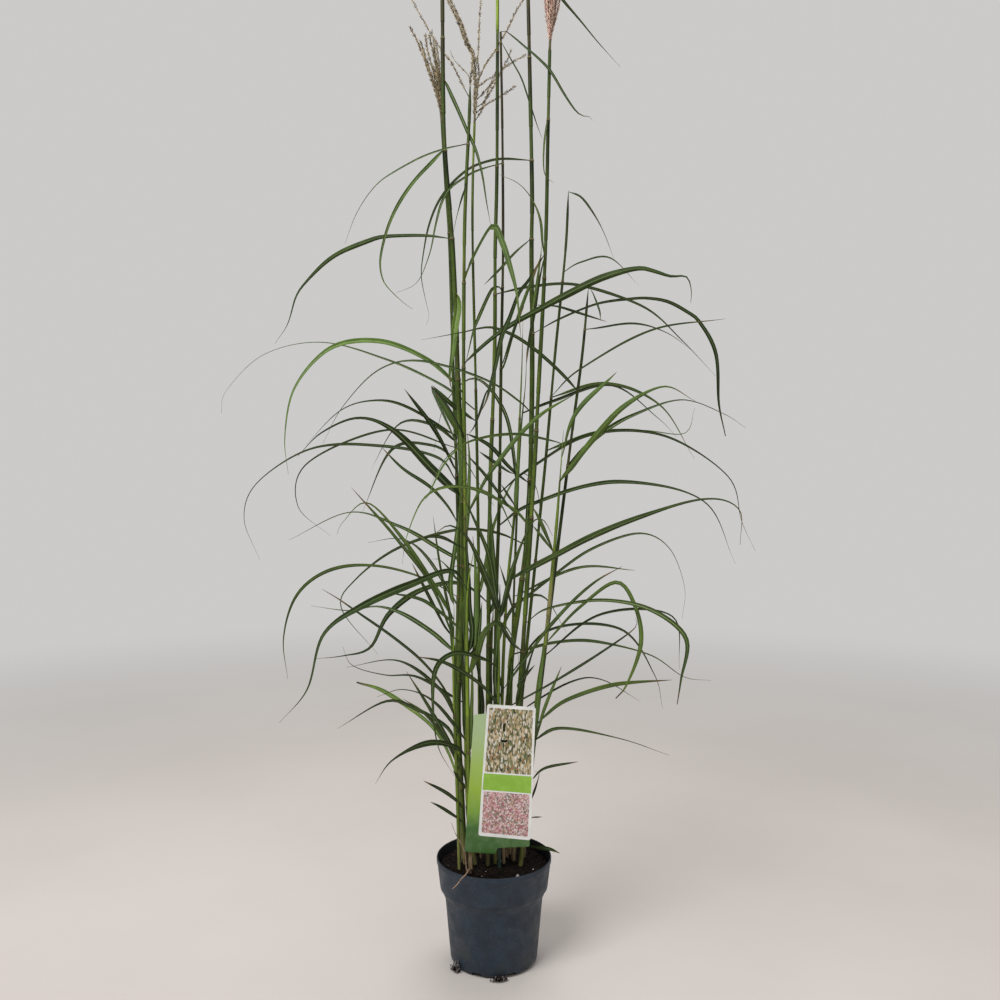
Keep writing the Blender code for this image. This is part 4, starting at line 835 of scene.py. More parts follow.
# Each small blade, by its cane: width, roll, depth of its tip, tone and the places of its line.
SMALL_BLADES = {
    "stem_middle_short": [
        (0.81, 60, 19, 0.65, 3.3, 50.2, 10, 52.2, 17, 52.4, 26, 50.2, 31.5, 46.6, 36, 46), (0.71, 60, 17, 0.15, 4.8,
        90.2, 10, 92.3, 19.5, 94.9, 27, 89.6, 30.2, 86.4), (0.62, 60, 11, 0.51, 3.4, 60, 14, 64.7, 23.4, 64.3), (0.71,
        60, 18.5, 0.42, 2.9, 47.3, 9.5, 54.4, 21, 54.5, 26.6, 47, 28, 41.3), (0.81, 65, 26, 0.1, 4.1, 78, 2, 90, -3,
        96, -8, 92, -10, 84)],
    "stem_thin": [
        (0.81, 60, 8.5, 0.3, -4.8, 64.6, -10, 68.4, -16, 71.7, -24, 73.9, -34, 69.3), (0.81, 65, 22, 0.69, -2.5, 60,
        0, 72, 4, 80, 7, 78, 8, 70), (0.94, 62, -3, 0.59, -3, 88.8, -5, 90.4, -7, 91.8, -9, 93.7, -10.2, 94.9), (0.99,
        68, -0.8, 0.32, -2.1, 34, -2, 40, -2.3, 45, -2.7, 50), (0.83, 66, -1.8, 0.36, -1.6, 38, -1.9, 43, -2.5, 47.5,
        -3.5, 52, -4.6, 56)],
    "stem_left_behind": [
        (0.85, 60, 12, 0.75, -5.4, 29.5, -10, 38, -18, 44, -22.8, 45.7), (0.62, 60, 9.5, 0.1, -5.9, 58.3, -11.3, 66.7,
        -15.5, 69.5, -20.9, 68.9), (0.45, 55, 18, 0.3, -6.3, 84.5, -17.5, 87.5, -30.8, 82.1, -32.5, 75, -27, 69.9),
        (0.62, 65, 15, 0.33, -5.6, 82.5, -10.5, 85, -17, 84.2, -21.8, 74), (0.71, 75, 3, 0.45, -5.4, 72, -10, 77.6,
        -15, 81.1, -18.8, 84.9), (0.9, 76, -9, 0.24, -6.1, 80.5, -9.5, 87.2, -14.8, 94.3), (0.81, 70, 5, 0.27, -5.4,
        35, -8, 38.3, -13, 41.2, -18, 42.5, -26, 38), (0.94, 68, 1.2, 0.57, -6, 86, -6.1, 91, -6.2, 96, -6.5, 101)],
    "shoot_left": [
        (0.62, 70, -14, 0.33, -5.7, 40, -9.5, 45, -16, 49.3, -24.5, 48.2), (0.62, 76, -14, 0.62, -6.6, 53, -10.5, 62,
        -16.5, 70, -23.6, 78), (0.53, 60, -9, 0.5, -6.6, 54, -8.5, 63, -10.1, 73.2), (0.95, 76, -3, 0.55, -7.6, 58.5,
        -7.2, 63, -6.1, 71, -5.3, 79), (0.83, 68, -5, 0.9, -6.4, 36, -6.3, 41, -6.3, 46, -6.8, 51, -7.4, 56), (0.78,
        68, -5.4, 0.83, -6.4, 44, -6.5, 48.5, -6.9, 53, -7.3, 57, -8.2, 61.5, -9.3, 67, -10, 72.5)],
    "shoot_bright": [
        (0.62, 70, -14, 0.66, -4.5, 53.7, -9.5, 57.8, -12.5, 59.6, -17.6, 60.6), (1.3, 70, -5.8, 1.0, -3.1, 47, -3.1,
        53, -3, 59, -3.1, 65, -3.5, 70), (1.14, 70, -6.4, 0.43, -2.8, 50.4, -3.4, 54, -4, 58, -4.2, 63, -4.6, 69,
        -4.8, 73.5), (0.94, 70, -5.5, 0.36, -2.6, 50.5, -2.6, 53, -2.3, 56, -2, 59), (0.88, 70, -5.4, 1.0, -3.8, 34,
        -3.7, 40, -3.6, 45, -3.7, 50.5), (1.2, 40, -9.5, 0.7, -2.9, 47.2, -2.5, 50.6, -1.5, 53.8, 0.3, 55.5, 1.8, 55,
        3, 53.2, 3.9, 51, 4.1, 49)],
    "shoot_front": [
        (1.25, 76, -19, 0.5, 0.9, 57, -0.2, 60.5, -1.8, 64.5, -3.4, 68, -5, 70.5, -6.6, 71.5, -8, 71.6, -10.3, 69.9),
        (1.2, 76, -16, 0.5, 0.9, 56, 2, 61, 3.6, 66.3, 5.4, 70.6, 7, 72.8, 8.4, 72.4, 9.7, 70), (1.35, 72, -3.6, 0.57,
        0.1, 43, 0.3, 49, 0.6, 54, 0.9, 58, 1, 62), (1.04, 70, -6.5, 0.43, 0.6, 57.5, -0.1, 63, -0.9, 67, -2, 70,
        -3.4, 73, -4.7, 75.8, -5.6, 78)],
    "stem_left_second": [
        (0.85, 76, -16.5, 0.8, -4.6, 73.2, -2.6, 77.2, -1, 80, 1.1, 82.9, 4, 86.5, 8, 90.3, 13.5, 93.5), (0.43, 60,
        -9, 0.4, -3.6, 128, -4.4, 127.9, -5.3, 125.9, -6.2, 122.5, -6.8, 119.5), (0.62, 70, -14, 0.3, -4.5, 36, -10,
        42.5, -15, 44.5, -19.4, 43.3), (0.53, 70, -11, 0.3, -5, 42, -12.5, 46.5, -18, 46.9, -23.5, 48.5, -25.1, 51.6),
        (0.62, 70, -10, 0.4, -5.3, 68, -8.8, 69.8, -12.5, 69.7), (0.94, 70, -4.6, 0.83, -4.6, 70, -4.4, 75, -4.1, 80,
        -4.1, 83.5, -4.4, 87), (0.83, 68, -4, 0.5, -4.7, 36, -4.9, 41, -5.1, 46, -5.2, 52, -5.4, 57), (0.73, 66, -9,
        0.5, -4.3, 28, -5.2, 31.5, -7.6, 36, -10.6, 41.2, -14.5, 47.5)],
    "stem_yellow": [
        (0.5, 76, -28.5, 0.8, 11.3, 85.1, 9.8, 85.6, 7, 86.3, 4, 86.8, 0, 86.6, -3.5, 85.8, -6, 84.6, -8, 82.8, -9.6,
        80.2, -10.8, 77.7), (0.95, 76, -9, 0.85, 11.2, 83, 13.5, 90.3, 20.3, 97.1), (0.62, 70, -20, 0.6, 6.4, 36, 11,
        38, 21, 36.3, 29, 33.6), (0.71, 70, -7, 0.7, 10, 67.2, 7.6, 72.6, 6.4, 74.8), (0.62, 70, -2, 0.6, 10, 67.2, 7,
        71, 6.3, 71.7), (0.71, 70, -9, 0.85, 6.8, 35.5, 8.2, 41, 11.2, 48.3), (0.94, 70, -5, 1.0, 7, 38, 7.3, 43, 7.9,
        48, 8.5, 54)],
    "stem_brown": [
        (0.42, 60, -12, 0.35, 0.3, 131.4, -3, 130.2, -5, 129, -7.3, 127.3, -8.7, 124.8, -9.7, 121, -10.5, 117, -12,
        113, -13.4, 111.3, -16.1, 110.2), (0.5, 70, -10.5, 0.35, 1, 153.4, 2, 153.2, 5.2, 150.5, 7, 149, 9, 147, 10.2,
        145.2, 11.5, 143, 13.3, 140.3, 14.5, 139.3, 15.8, 139.1, 16.3, 138.5), (0.9, 75, -15, 0.69, 1.4, 97, 3.8, 106,
        7.9, 116.5), (0.81, 65, -6, 0.42, 0.7, 71.8, 6.5, 75.3, 20, 78.9, 34.5, 75.9, 40, 65.4), (0.29, 60, 4, 0.4,
        1.2, 151.3, 3, 148.2, 4.5, 145.5, 5.7, 142, 7.2, 137.5, 8, 135.5), (0.62, 70, -8, 0.4, 1.4, 110.4, 0.9, 111,
        0, 111, -0.9, 109.8, -2.6, 106, -3.5, 103.5, -4.2, 100.5, -4.8, 98), (0.71, 76, -12, 0.35, 1.3, 98, 2.3,
        101.5, 3.6, 105, 5, 108)],
    "stem_right_outer": [
        (0.4, 55, 10, 0.2, 15.4, 104, 23, 105.1, 28.5, 103.6, 32.8, 100.6), (0.62, 65, -6, 0.48, 13.9, 94, 12.3, 95.8,
        10, 98, 6.8, 100.8, 3.5, 103, 0, 104.4, -2.5, 104.3, -5, 103.7, -12, 102.4), (0.71, 60, 17, 0.18, 8.4, 50.2,
        18, 57, 29.5, 56.7, 30.8, 47.8), (0.43, 65, 2, 0.3, 16, 111, 16.9, 108.8, 17.5, 107, 17.6, 105.5), (0.53, 70,
        -2, 0.2, 5.8, 25.3, 7.5, 30.3, 6.6, 30.9), (0.53, 70, 3, 0.2, 6.1, 29.3, 8.5, 31.4, 14, 32.5), (0.43, 70, 0,
        0.2, 5.9, 23.1, 8, 23.3), (0.81, 75, -2, 0.5, 5.2, 18.4, 9, 18, 11, 17.2)],
    "stem_right_thin": [
        (0.42, 60, -4, 0.45, 9.2, 93.2, 14.3, 97.6, 26, 104, 38.3, 105.9), (0.4, 70, -3, 0.4, 11.3, 113.6, 14.5,
        115.2, 19.2, 115.9, 24, 111.3), (0.42, 70, 12, 0.5, 12.3, 126.7, 14.3, 126, 16.2, 123.6, 18, 120.4, 19.8,
        115.8), (0.71, 65, 19.5, 0.61, 8.7, 84, 17, 87.1, 25, 87.4, 31.6, 87, 33.2, 91.2), (0.62, 60, 10, 0.68, 9.3,
        92.8, 18.5, 95.2, 27.5, 91.6, 33.2, 82.7), (0.62, 60, 16, 0.08, 4.4, 41, 13, 45.8, 18, 46.1, 24.3, 42.5),
        (0.57, 66, 0.5, 0.43, 3.8, 41.5, 5, 46, 6.5, 51, 8, 54)],
    "stem_middle": [
        (0.62, 76, -10.5, 0.59, 1.5, 44.5, 9.5, 55.3, 16, 61.8, 21.3, 65), (0.42, 75, -24, 0.2, 1.3, 41, 12, 47, 22.8,
        54.2, 23.4, 56.5), (0.71, 76, -16, 0.4, 1.5, 41, -2, 45.2, -8, 48.9, -13, 50), (0.62, 70, -14, 0.4, 3.3, 73.8,
        -1.3, 79.9, -4.5, 83.5), (0.62, 70, -9, 0.3, 3.7, 74.8, 1.2, 78.5), (0.62, 70, -9, 0.4, 3.3, 80, -2.5, 84),
        (0.88, 70, -4, 0.83, 3.4, 73.5, 3.7, 78, 4, 82.5, 4.3, 88), (1.3, 70, -3.2, 0.09, 1.2, 30, 1.5, 33.5, 1.75,
        37.5, 1.9, 41, 2, 43.5)],
    "shoot_centre": [
        (0.81, 65, 24, 0.57, -0.4, 50, 3, 58, 8, 60, 12, 54), (0.88, 68, 1, 0.36, -0.5, 40, -0.7, 46, -0.6, 52, -0.2,
        57.5)],
    "stem_left_tall": [
        (0.71, 65, -6, 0.3, -8, 145, -6.2, 141, -4.4, 136.8, -2.9, 133.5, -1.9, 129.5, -1.2, 125, -0.6, 121.5), (1.47,
        76, -6, 0.75, -6, 109.9, -5.9, 108, -6.5, 104, -6.9, 100, -7.3, 97, -7.2, 95, -6.9, 94.2), (0.62, 65, -9, 0.2,
        -4.7, 22.2, -8.5, 24.7, -10.6, 25.8), (0.71, 65, -10, 0.25, -4.5, 24.4, -7.5, 27, -11.7, 29.3), (0.71, 70, -8,
        0.2, -4.3, 27.8, -6.8, 31), (0.62, 70, -4, 0.3, -5.2, 40.5, -12.5, 49.7, -24, 58.3, -28.5, 61.2), (0.62, 70,
        -12, 0.3, -6.8, 52.5, -10, 58.5, -13.6, 65.5), (0.62, 70, -12, 0.35, -5.8, 86, -14, 91.1, -19.5, 92.4, -25.3,
        90.8, -31.2, 85), (0.62, 70, -2, 0.3, -5.5, 85, -9.5, 88, -14, 89.1, -17, 87.1, -20.3, 81), (1.3, 70, -4.5,
        0.83, -5.6, 48, -5.2, 52, -4.9, 57, -4.6, 61, -4.6, 64.2, -5.6, 65.2, -7, 64.6), (1.2, 70, -8, 0.86, -4.9,
        85.2, -6.4, 88.3, -8.4, 91.8, -10.3, 94.6), (0.36, 60, -9, 1.0, -4, 85.4, -5.6, 84.6, -7.2, 83.2, -8.8, 81,
        -10, 78.6, -11.2, 76), (1.35, 72, -4.4, 1.0, -5.4, 75.8, -5.3, 79, -5.3, 83, -5.6, 87, -6.1, 91), (0.47, 62,
        -8, 0.83, -5.8, 62.2, -7.3, 64.4, -9, 66, -10.4, 66.2), (0.57, 64, -7, 0.57, -5.5, 31, -8.3, 36.5, -11.5,
        40.5, -15.2, 43)],
    "stem_right_second": [
        (0.62, 60, 3, 0.4, 9.25, 150.2, 9.35, 153, 9.55, 157, 9.85, 160.6, 10.3, 160.9, 11, 158.8, 14.3, 154.8, 17,
        151.5, 19.5, 148.7, 20.8, 147.3), (0.43, 60, -8, 0.4, 8.8, 138.5, 8.3, 134.5, 8.2, 131, 8.6, 129.3, 9.9,
        128.2), (0.48, 60, -2, 0.5, 7.9, 116.5, 7.9, 118, 7.8, 121, 7.3, 123.3, 6.3, 125.5, 5, 127.3, 3.5, 128.5, 1.4,
        129.4, 0.3, 130), (0.9, 75, -16, 0.35, 8.2, 116.2, 6.8, 114, 5.5, 112, 4, 110, 2.5, 106, 1.2, 103, 0.2, 98,
        -0.6, 95, -1.3, 92.3, -2.3, 90.3), (0.81, 76, -12, 0.3, 8, 116, 7.2, 111, 6.4, 106, 5.7, 102, 5.3, 98), (0.81,
        75, -13, 0.4, 3.9, 50.8, 2, 54, 0.6, 55.7, -0.5, 55.4, -2.5, 53), (0.53, 60, -9, 0.4, 3.2, 44.5, 6.8, 48.6),
        (0.52, 65, -10, 1.0, 6.3, 71.2, 4.2, 73.6, 2, 75.2, -0.5, 76.6, -3.5, 77.7, -6.5, 78.2, -9.5, 77.7, -11.8,
        75.8), (0.62, 66, -3.5, 0.5, 3.3, 41, 4.2, 44.8, 5.1, 48.5, 5.9, 52)],
    "stem_right_tall": [
        (0.48, 65, -9, 0.4, 6.1, 118.8, 4.5, 117.7, 2.9, 116.2, 0.9, 114, -1.6, 111.5), (0.48, 65, 8, 0.3, 8, 108.2,
        10.5, 107.9, 13, 107.2, 18.6, 105.4), (0.81, 75, -12, 0.35, 5.8, 78.7, 2.5, 81.5, -0.5, 84.8, -4, 86.7, -5,
        86.6), (0.62, 68, -4, 0.5, 3.6, 56.5, 2.7, 59.5, 1.9, 62.3, 0.9, 65.3), (0.99, 70, -1.2, 0.57, 5.9, 79, 5.5,
        73, 5.2, 68.5, 4.7, 63.5), (0.94, 70, -0.6, 0.54, 3, 50, 2.7, 46, 2.3, 42, 2.2, 38), (0.78, 68, -1, 0.7, 6.1,
        103, 6.4, 107, 7, 111, 7.6, 115.3, 7.9, 118)],
    "stem_centre": [
        (0.62, 70, -9, 0.35, -1, 95, -3, 88.8, -4.2, 86.8), (1.04, 70, -2.6, 0.63, 0.9, 57, 0.5, 61, 0, 66, -0.4, 71,
        -0.7, 76, -0.9, 79.5), (0.94, 68, -2.4, 0.7, -1, 62, -0.9, 68, -0.7, 74, -0.5, 79, -0.2, 84), (0.62, 66, -4.5,
        0.57, 1.9, 42.3, 1, 46, 0.2, 49.3, -0.5, 52.5)],
}
HEADED = ("stem_left_tall", "stem_left_behind", "stem_thin", "stem_centre", "stem_brown",
          "stem_right_tall", "stem_right_second")

skin = Finish("cane_skin", specular=0.16)
cloud = skin.mask(patches, 22.0, 0.3, 0.7)
ring = skin.kept("ring")
shade = skin.maths("ADD", skin.kept("tone"), skin.maths("MULTIPLY_ADD", cloud, 0.24, -0.12))
base = skin.ramp(shade, (0.0, (0.009, 0.015, 0.004)), (0.45, (0.052, 0.082, 0.016)), (1.0, (0.200, 0.300, 0.040)))
streak = skin.mask(patches, 520.0, 0.42, 0.62, place=skin.stretched(0.06))
base = skin.mix(streak, base, (1.45, 1.35, 1.15), 0.45, "MULTIPLY")
around = skin.add("SeparateXYZ", skin.add("UVMap").outputs[0]).outputs[0]
around = skin.maths("ADD", around, skin.maths("MULTIPLY", cloud, 0.06))
# Painted highlight: a lighter stripe runs down one side of each cane, where light catches its round.
base = skin.mix(skin.spread(skin.off(around, 0.23), 0.20, 0.05), base, (1.38, 1.32, 1.2), None, "MULTIPLY")
# Painted shade: a darker, bluer stripe runs down another side of each cane, the side that would be in shade.
base = skin.mix(skin.spread(skin.off(around, 0.47), 0.17, 0.06), base, (0.42, 0.46, 0.55), 0.65, "MULTIPLY")
base = skin.mix(skin.kept("bare"), base, skin.mix(cloud, (0.026, 0.017, 0.013), (0.066, 0.050, 0.020)), 0.85)
base = skin.mix(skin.kept("low"), base, skin.mix(streak, (0.40, 0.30, 0.17), (0.17, 0.112, 0.062)))
base = skin.mix(skin.spread(ring, 0.08, 0.45), base, (0.060, 0.054, 0.020))
base = skin.mix(skin.spread(ring, 0.70, 1.0), base, (0.25, 0.20, 0.095), 0.8)
base = skin.mix(skin.mask(specks, 500.0, 0.24, 0.06), base, (0.07, 0.035, 0.025), 0.6)
skin.finish(base, skin.spread(cloud, 0.0, 1.0, 0.38, 0.52), (0.35, 0.0004, streak))

# What a cane's kind changes: the length of its taper, unless it ends in a flower head, and where its bare
# culm turns brown or its green turns bright: from this height, this fast, up to this much.
TAPERS = {"branched": 0.035, "shoot": 0.10}
BROWNED = {"brown": (0.9, 3, 0.85), "tall": (1.43, 15, 0.75)}
BRIGHTENED = {"stem_thin": (1.24, 12, 0.28), "stem_centre": (1.51, 20, 0.55)}
STRAW_SHEATH = (0.6, 0.585, 0.045)    # how straw-coloured the yellow cane's sheath is, at what height, how far
COLLARS_FROM = 28    # the height in centimetres, seen from the front, above which small blades leave a collar
NEAR_JOINT = (-0.0045, -0.0022, -0.0008, 0.0, 0.0008, 0.0022, 0.0045)


def climbed(height, start, steepness, most):
    """What has built up by a height: none below its start, and never more than its most."""
    return held(0.0, (height - start) * steepness, most)


for cane in canes.values():
    strips = []
    for width, roll, depth_tip, tone, *places in SMALL_BLADES.get(cane.name, []):
        if places[1] > COLLARS_FROM and len(places) > 4:
            cane.collars.append(cane.nearest(places[1])[2])
        strips.append(grass_blade("small_blade", cane, width, roll, depth_tip, tone, *places))
    chance = random.Random(cane.name)
    foot, top = cane.line[0, 2], cane.line[-1, 2]
    spots = sorted(cane.joints)
    joints = [(height, min(0.06, 0.33 * (after - height)), chance.choice((0.1, 0.25, 0.7)), chance.uniform(-0.1, 0.1))
              for height, after in zip(spots, spots[1:] + [top])]
    heights = set(np.arange(foot - 0.006, top, 0.011)) | {top}
    for height, bare, purple, shift in joints:
        heights |= {level + near for near in NEAR_JOINT for level in (height, height + bare)}
    heights = sorted(height for height in heights if foot - 0.0061 < height <= top)
    rings, bares, tones, radii = [], [], [], []
    for height in heights:
        bared, narrow, tone = 0.0, 0.0, cane.tone
        ring = max([0.35 * math.exp(-((height - collar) / 0.0014) ** 2) for collar in cane.collars] + [0.0])
        for joint, bare, purple, shift in joints:
            ring = max(ring, math.exp(-((height - joint) / 0.0019) ** 2))
            if height < joint:
                tone = tone - 0.14 * math.exp(-(joint - height) / 0.035)
            else:
                tone = cane.tone + shift + 0.14 * math.exp(-(height - joint) / 0.05)
            if joint < height < joint + bare:
                narrow = min(1.0, (height - joint) / 0.004)
                bared = narrow * purple * (1.0 - 0.6 * (height - joint) / bare)
        if cane.kind == "brown":
            bared = max(bared, 0.3)
        if cane.kind in BROWNED:
            bared = max(bared, climbed(height, *BROWNED[cane.kind]))
        if cane.name in BRIGHTENED:
            tone += climbed(height, *BRIGHTENED[cane.name])
        taper = 1.0 if cane.name in HEADED else min(1.0, 0.12 + 0.88 * (top - height) / TAPERS.get(cane.kind, 0.16))
        taper *= 1 - 0.24 * climbed(-height, -0.36, 1 / 0.14, 1.0)
        rings.append(ring)
        bares.append(bared)
        # The tone is darker above 1.05 m. Below 0.8 m it is lifted, a painted light against the shade that the plant
        # casts on its own lower canes.
        tones.append(tone - 0.22 * climbed(height, 1.05, 1 / 0.3, 1.0) + 0.1 * climbed(-height, -0.8, 5, 1.0))
        radii.append(cane.radius_at(height) * (1.08 + 0.14 * ring - 0.15 * narrow) * max(0.1, taper))
    route = [cane.at(height) - (0, 0, max(0, foot - height)) for height in heights]
    pole = rod(cane.name + "_cane", route, radii, 12)
    levels = np.array([vert.co.z for vert in pole.data.vertices])
    lows = np.clip((foot + chance.uniform(0.05, 0.13) - levels) / 0.05, 0, 1) * chance.choice((0.45, 0.8, 1.0))
    if cane.kind == "yellow":
        most, middle, reach = STRAW_SHEATH
        lows = np.maximum(lows, most * np.exp(-((levels - middle) / reach) ** 2))
    keep(pole.data, "low", lows)
    for name, values in (("tone", tones), ("ring", rings), ("bare", bares)):
        keep(pole.data, name, np.interp(levels, heights, values))
    skin.dress(pole)
    if strips:
        strips = joined("small_blades", *strips)
        shaped(strips, "SOLIDIFY", **BLADE_WALL)
        joined(pole.name, pole, strips)
    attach(pole, "root")
    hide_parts(cane.name)

# A dead stalk and a dead sheath: dry tan leftovers of last year that lean out at the left, one upright and
# one bent over the pot's rim. Both grow out of the root ball.
FRONT_DEPTH = -4.4
STALK_LINE = [(-0.043, -0.042, 0.152)] + [seen(x, z, FRONT_DEPTH)
                                          for x, z in ((-4.9, 17.4), (-5.6, 19), (-6.3, 20.3), (-7.1, 22.3))]
SHEATH_LINE = [(-0.0375, -0.046, 0.155), (-0.039, -0.052, 0.166), (-0.0405, -0.070, 0.1725),
               (-0.0440, -0.0850, 0.1725), (-0.050, -0.0915, 0.1695), (-0.056, -0.0935, 0.162),
               (-0.064, -0.0955, 0.155)]
dry_skin = Finish("dry_stalk", 0.7)
grainy = dry_skin.mask(patches, 420.0, 0.35, 0.65, place=dry_skin.stretched(0.25))
dry_skin.finish(dry_skin.mix(grainy, (0.16, 0.085, 0.050), (0.42, 0.29, 0.20)),
                dry_skin.spread(grainy, 0.0, 1.0, 0.62, 0.8), (0.5, 0.0004, grainy))
stalk = rod("dead_stalk", smooth(STALK_LINE, 24), np.linspace(0.0014, 0.0003, 24), 7)
radii = np.interp(np.arange(30), (0, 5, 16, 29), (0.0026, 0.0021, 0.0012, 0.0006))
sheath = rod("dead_sheath", smooth(SHEATH_LINE, 30), radii, 8)
dry_skin.dress(stalk, sheath)
for thing in (stalk, sheath):
    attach(thing, "root")

# Flower heads: each cane ends in a rib with a fan of thin branches. Small pointed spikelets sit along each
# branch in pairs, with fine silky hairs at their feet, and they dry from purplish brown to pinkish tan.

# Each head: node, cane, look, depth of its tip, rib, thickness, gap between spikelets, hairs and branches. A
# branch: where it starts on the rib, or its cane, its tip's depth past the head's, how full it is, and its
# places, x and z in turn.
FLOWER_HEADS = [
    ("flower_head_left_top", "stem_left_tall", "pink", -3.5, [(-8.6, 161), (-8.8, 170), (-9.6, 182)],
     0.24, 0.003, 2, [
        (0.1, 2, 1, -13.5, 176), (0.15, -2, 1, -5, 177), (0.25, -2, 1, -11.8, 180), (0.3, 3, 1, -6.6, 181), (0.4, 4,
        1, -12.6, 178.5), (0.5, -4, 1, -7.6, 182)]),
    ("flower_head_left_narrow", "stem_left_behind", "olive", 4, [(-8.65, 139), (-9.3, 145), (-10.2, 153.5)],
     0.2, 0.0024, 0, [
        (0.04, 1, 1, -9.0, 141, -10.3, 145.2, -12.2, 150.5, -13.8, 153.8), (0.06, -2, 1, -9.0, 141.5, -10.5, 146.5,
        -12.1, 151.5), (0.1, 3, 1, -8.9, 142.5, -9.9, 146.3, -10.9, 149.8, -11.3, 152.6), (0.13, -3, 1, -8.8, 143,
        -9.5, 147.5, -10.7, 152.5), (0.08, 2, 1, -8.7, 142, -8.9, 146, -9.2, 149, -9.8, 151.6), (0.06, -1.5, 1, -8.6,
        142, -8.7, 146.2), (0.15, 0, 1, -8.9, 144.5, -9.3, 147.5, -9.9, 150.5), (0.03, 0.5, 1, -8.7, 141, -9.2, 144,
        -9.7, 147), (0.05, 1, 1, -8.6, 141, -8.5, 144.5), (0.02, 1.4, 1, -8.8, 141, -9.6, 144, -10, 147.5), (0.04,
        -0.8, 1, -8.8, 141.5, -9.3, 145, -9.4, 148), (0.03, 0.3, 1, -8.6, 140.5, -8.8, 144, -9, 146.5)]),
    ("flower_head_open", "stem_thin", "cream", 3, [(-3.15, 139), (-3, 144), (-3.2, 149)],
     0.2, 0.0031, 0, [
        (0.84, -2, 1, -3.6, 149.2, -4.7, 151.2, -6.1, 155, -8.1, 159, -10.4, 162.5), (0.8, -1, 1, -3.3, 149.4, -4.3,
        151.4, -5.6, 155, -7.5, 159, -9.2, 162), (0.82, 0, 1, -3.5, 149.4, -4.5, 151.3, -5.9, 155, -7.9, 159), (0.78,
        1, 1, -3.2, 149, -4.1, 151, -5.2, 154.2, -6.4, 156.8), (0.76, 3, 0.7, -2.6, 149.5, -2.5, 152.5, -2.3, 156, -2,
        160), (0.5, 4.5, 0.9, -1.6, 147.3, 0.2, 150, 1.3, 152, 2.3, 153.6, 3.5, 156.2, 5.2, 159), (0.5, -3.5, 0.8,
        -1.9, 144.5, -1, 145.2, 0.3, 145.8), (0.02, 4, 0.9, -2.3, 139.7, -1.7, 141, -0.9, 143.5, 0.5, 146.7), (0.12,
        -1, 0.8, -1.9, 140.6, -0.8, 141.4, 1.2, 142.5, 3.6, 144.2), (0.2, 4, 0.8, -1.6, 141.6, -0.6, 143.2, 0.3,
        144.8, 1.6, 147.2, 2.9, 150.2), (0.3, 3.4, 0.8, -1.5, 143.3, 0.2, 145.3, 1.4, 146.9, 3, 148, 5.3, 149.3),
        (0.55, 1, 1, -3.3, 145.5, -3.6, 147.5, -3.5, 149.2), (0.3, 1.5, 1, -2.8, 143, -2.5, 146, -2.7, 148.5), (0.02,
        0.5, 1, -3.3, 141, -3.2, 144.5, -3.3, 148), (0.03, -0.5, 1, -2.9, 141, -2.8, 144, -3, 147),
        ("stem_left_second", -4, 0.7, -4.1, 142, -5.4, 144.8, -7, 148, -9, 150.6, -12.5, 156.4, -14, 159.5),
        ("stem_left_second", -7.5, 0.3, -4, 144, -4.1, 145.7, -5.4, 147.2, -6.5, 148.4, -7.2, 150),
        ("stem_left_second", -8, 1, -4, 143.5, -3.8, 146, -3.5, 148, -3.4, 150)]),
    ("flower_head_centre_top", "stem_centre", "cream", -1, [(0.65, 161), (0.9, 168), (1.6, 178)],
     0.2, 0.004, 1, [
        (0.1, 2, 1, -3, 172), (0.15, -2, 1, 4.6, 173), (0.3, -3, 1, -1.8, 176.5), (0.4, 3, 1, 3.6, 178), (0.5, 1, 1,
        0.2, 179)]),
    ("flower_head_right_top", "stem_right_tall", "pink", 1.5, [(5.6, 161), (5.7, 170), (6, 183)],
     0.24, 0.003, 2, [
        (0.1, 1, 1, 1.6, 175), (0.12, -2, 1, 9.6, 176), (0.2, -3, 1, 3.6, 180), (0.3, 3, 1, 8.2, 181), (0.45, 2, 1,
        4.6, 183)]),
    ("flower_head_brush", "stem_right_second", "pink", -5, [(9.22, 150.6), (9.5, 158), (9.9, 172)],
     0.22, 0.0021, 2, [
        (0.0, 1, 1, 9.1, 152.5, 8.75, 155, 8.45, 158, 8.1, 163, 8.3, 168), (0.0, -1, 1, 9.4, 152.5, 10.05, 155, 10.75,
        158, 11.3, 163, 11.2, 168.5), (0.02, -2, 1, 9.2, 153, 9.05, 156, 8.8, 160, 8.7, 171), (0.02, 2, 1, 9.4, 153,
        9.9, 156, 10.4, 160, 11, 171), (0.04, 2.5, 1, 9.3, 153.5, 9.5, 157, 9.8, 160, 10.4, 166), (0.05, -0.6, 1, 9.2,
        153.5, 9.0, 157, 9.1, 162), (0.06, 0.6, 1, 9.5, 154, 10.1, 157.5, 10.7, 162), (0.03, 0.1, 1, 9.3, 153, 9.5,
        156, 9.6, 161), (0.02, -1.5, 1, 9.35, 153, 9.7, 156, 9.9, 162), (0.02, 1.6, 1, 9.25, 153, 9.3, 156, 9.35,
        162), (0.03, -2.2, 1, 9.3, 153.5, 9.6, 156.5, 9.95, 161), (0.04, -2.4, 1, 9.2, 153.8, 9.35, 157, 9.5, 162),
        (0.05, 1.2, 1, 9.3, 154, 9.75, 157.2, 10.3, 162), (0.05, 1.8, 1, 9.15, 154, 9.1, 157, 9, 162), (0.03, -1.4, 1,
        9.1, 153.5, 8.85, 156.8, 8.6, 161), (0.03, -0.6, 1, 9.4, 153.6, 10, 156.6, 10.6, 161), (0.01, 0.8, 1, 9.3,
        152.5, 9.5, 155, 9.7, 159)]),
]
bpy.ops.object.select_all(action="DESELECT")
bpy.ops.mesh.primitive_cone_add(vertices=5, radius1=0.00042, radius2=0.0, depth=0.0042, end_fill_type="TRIFAN",
                                location=(0, 0, 0.0036))
spikelet = made("spikelet")
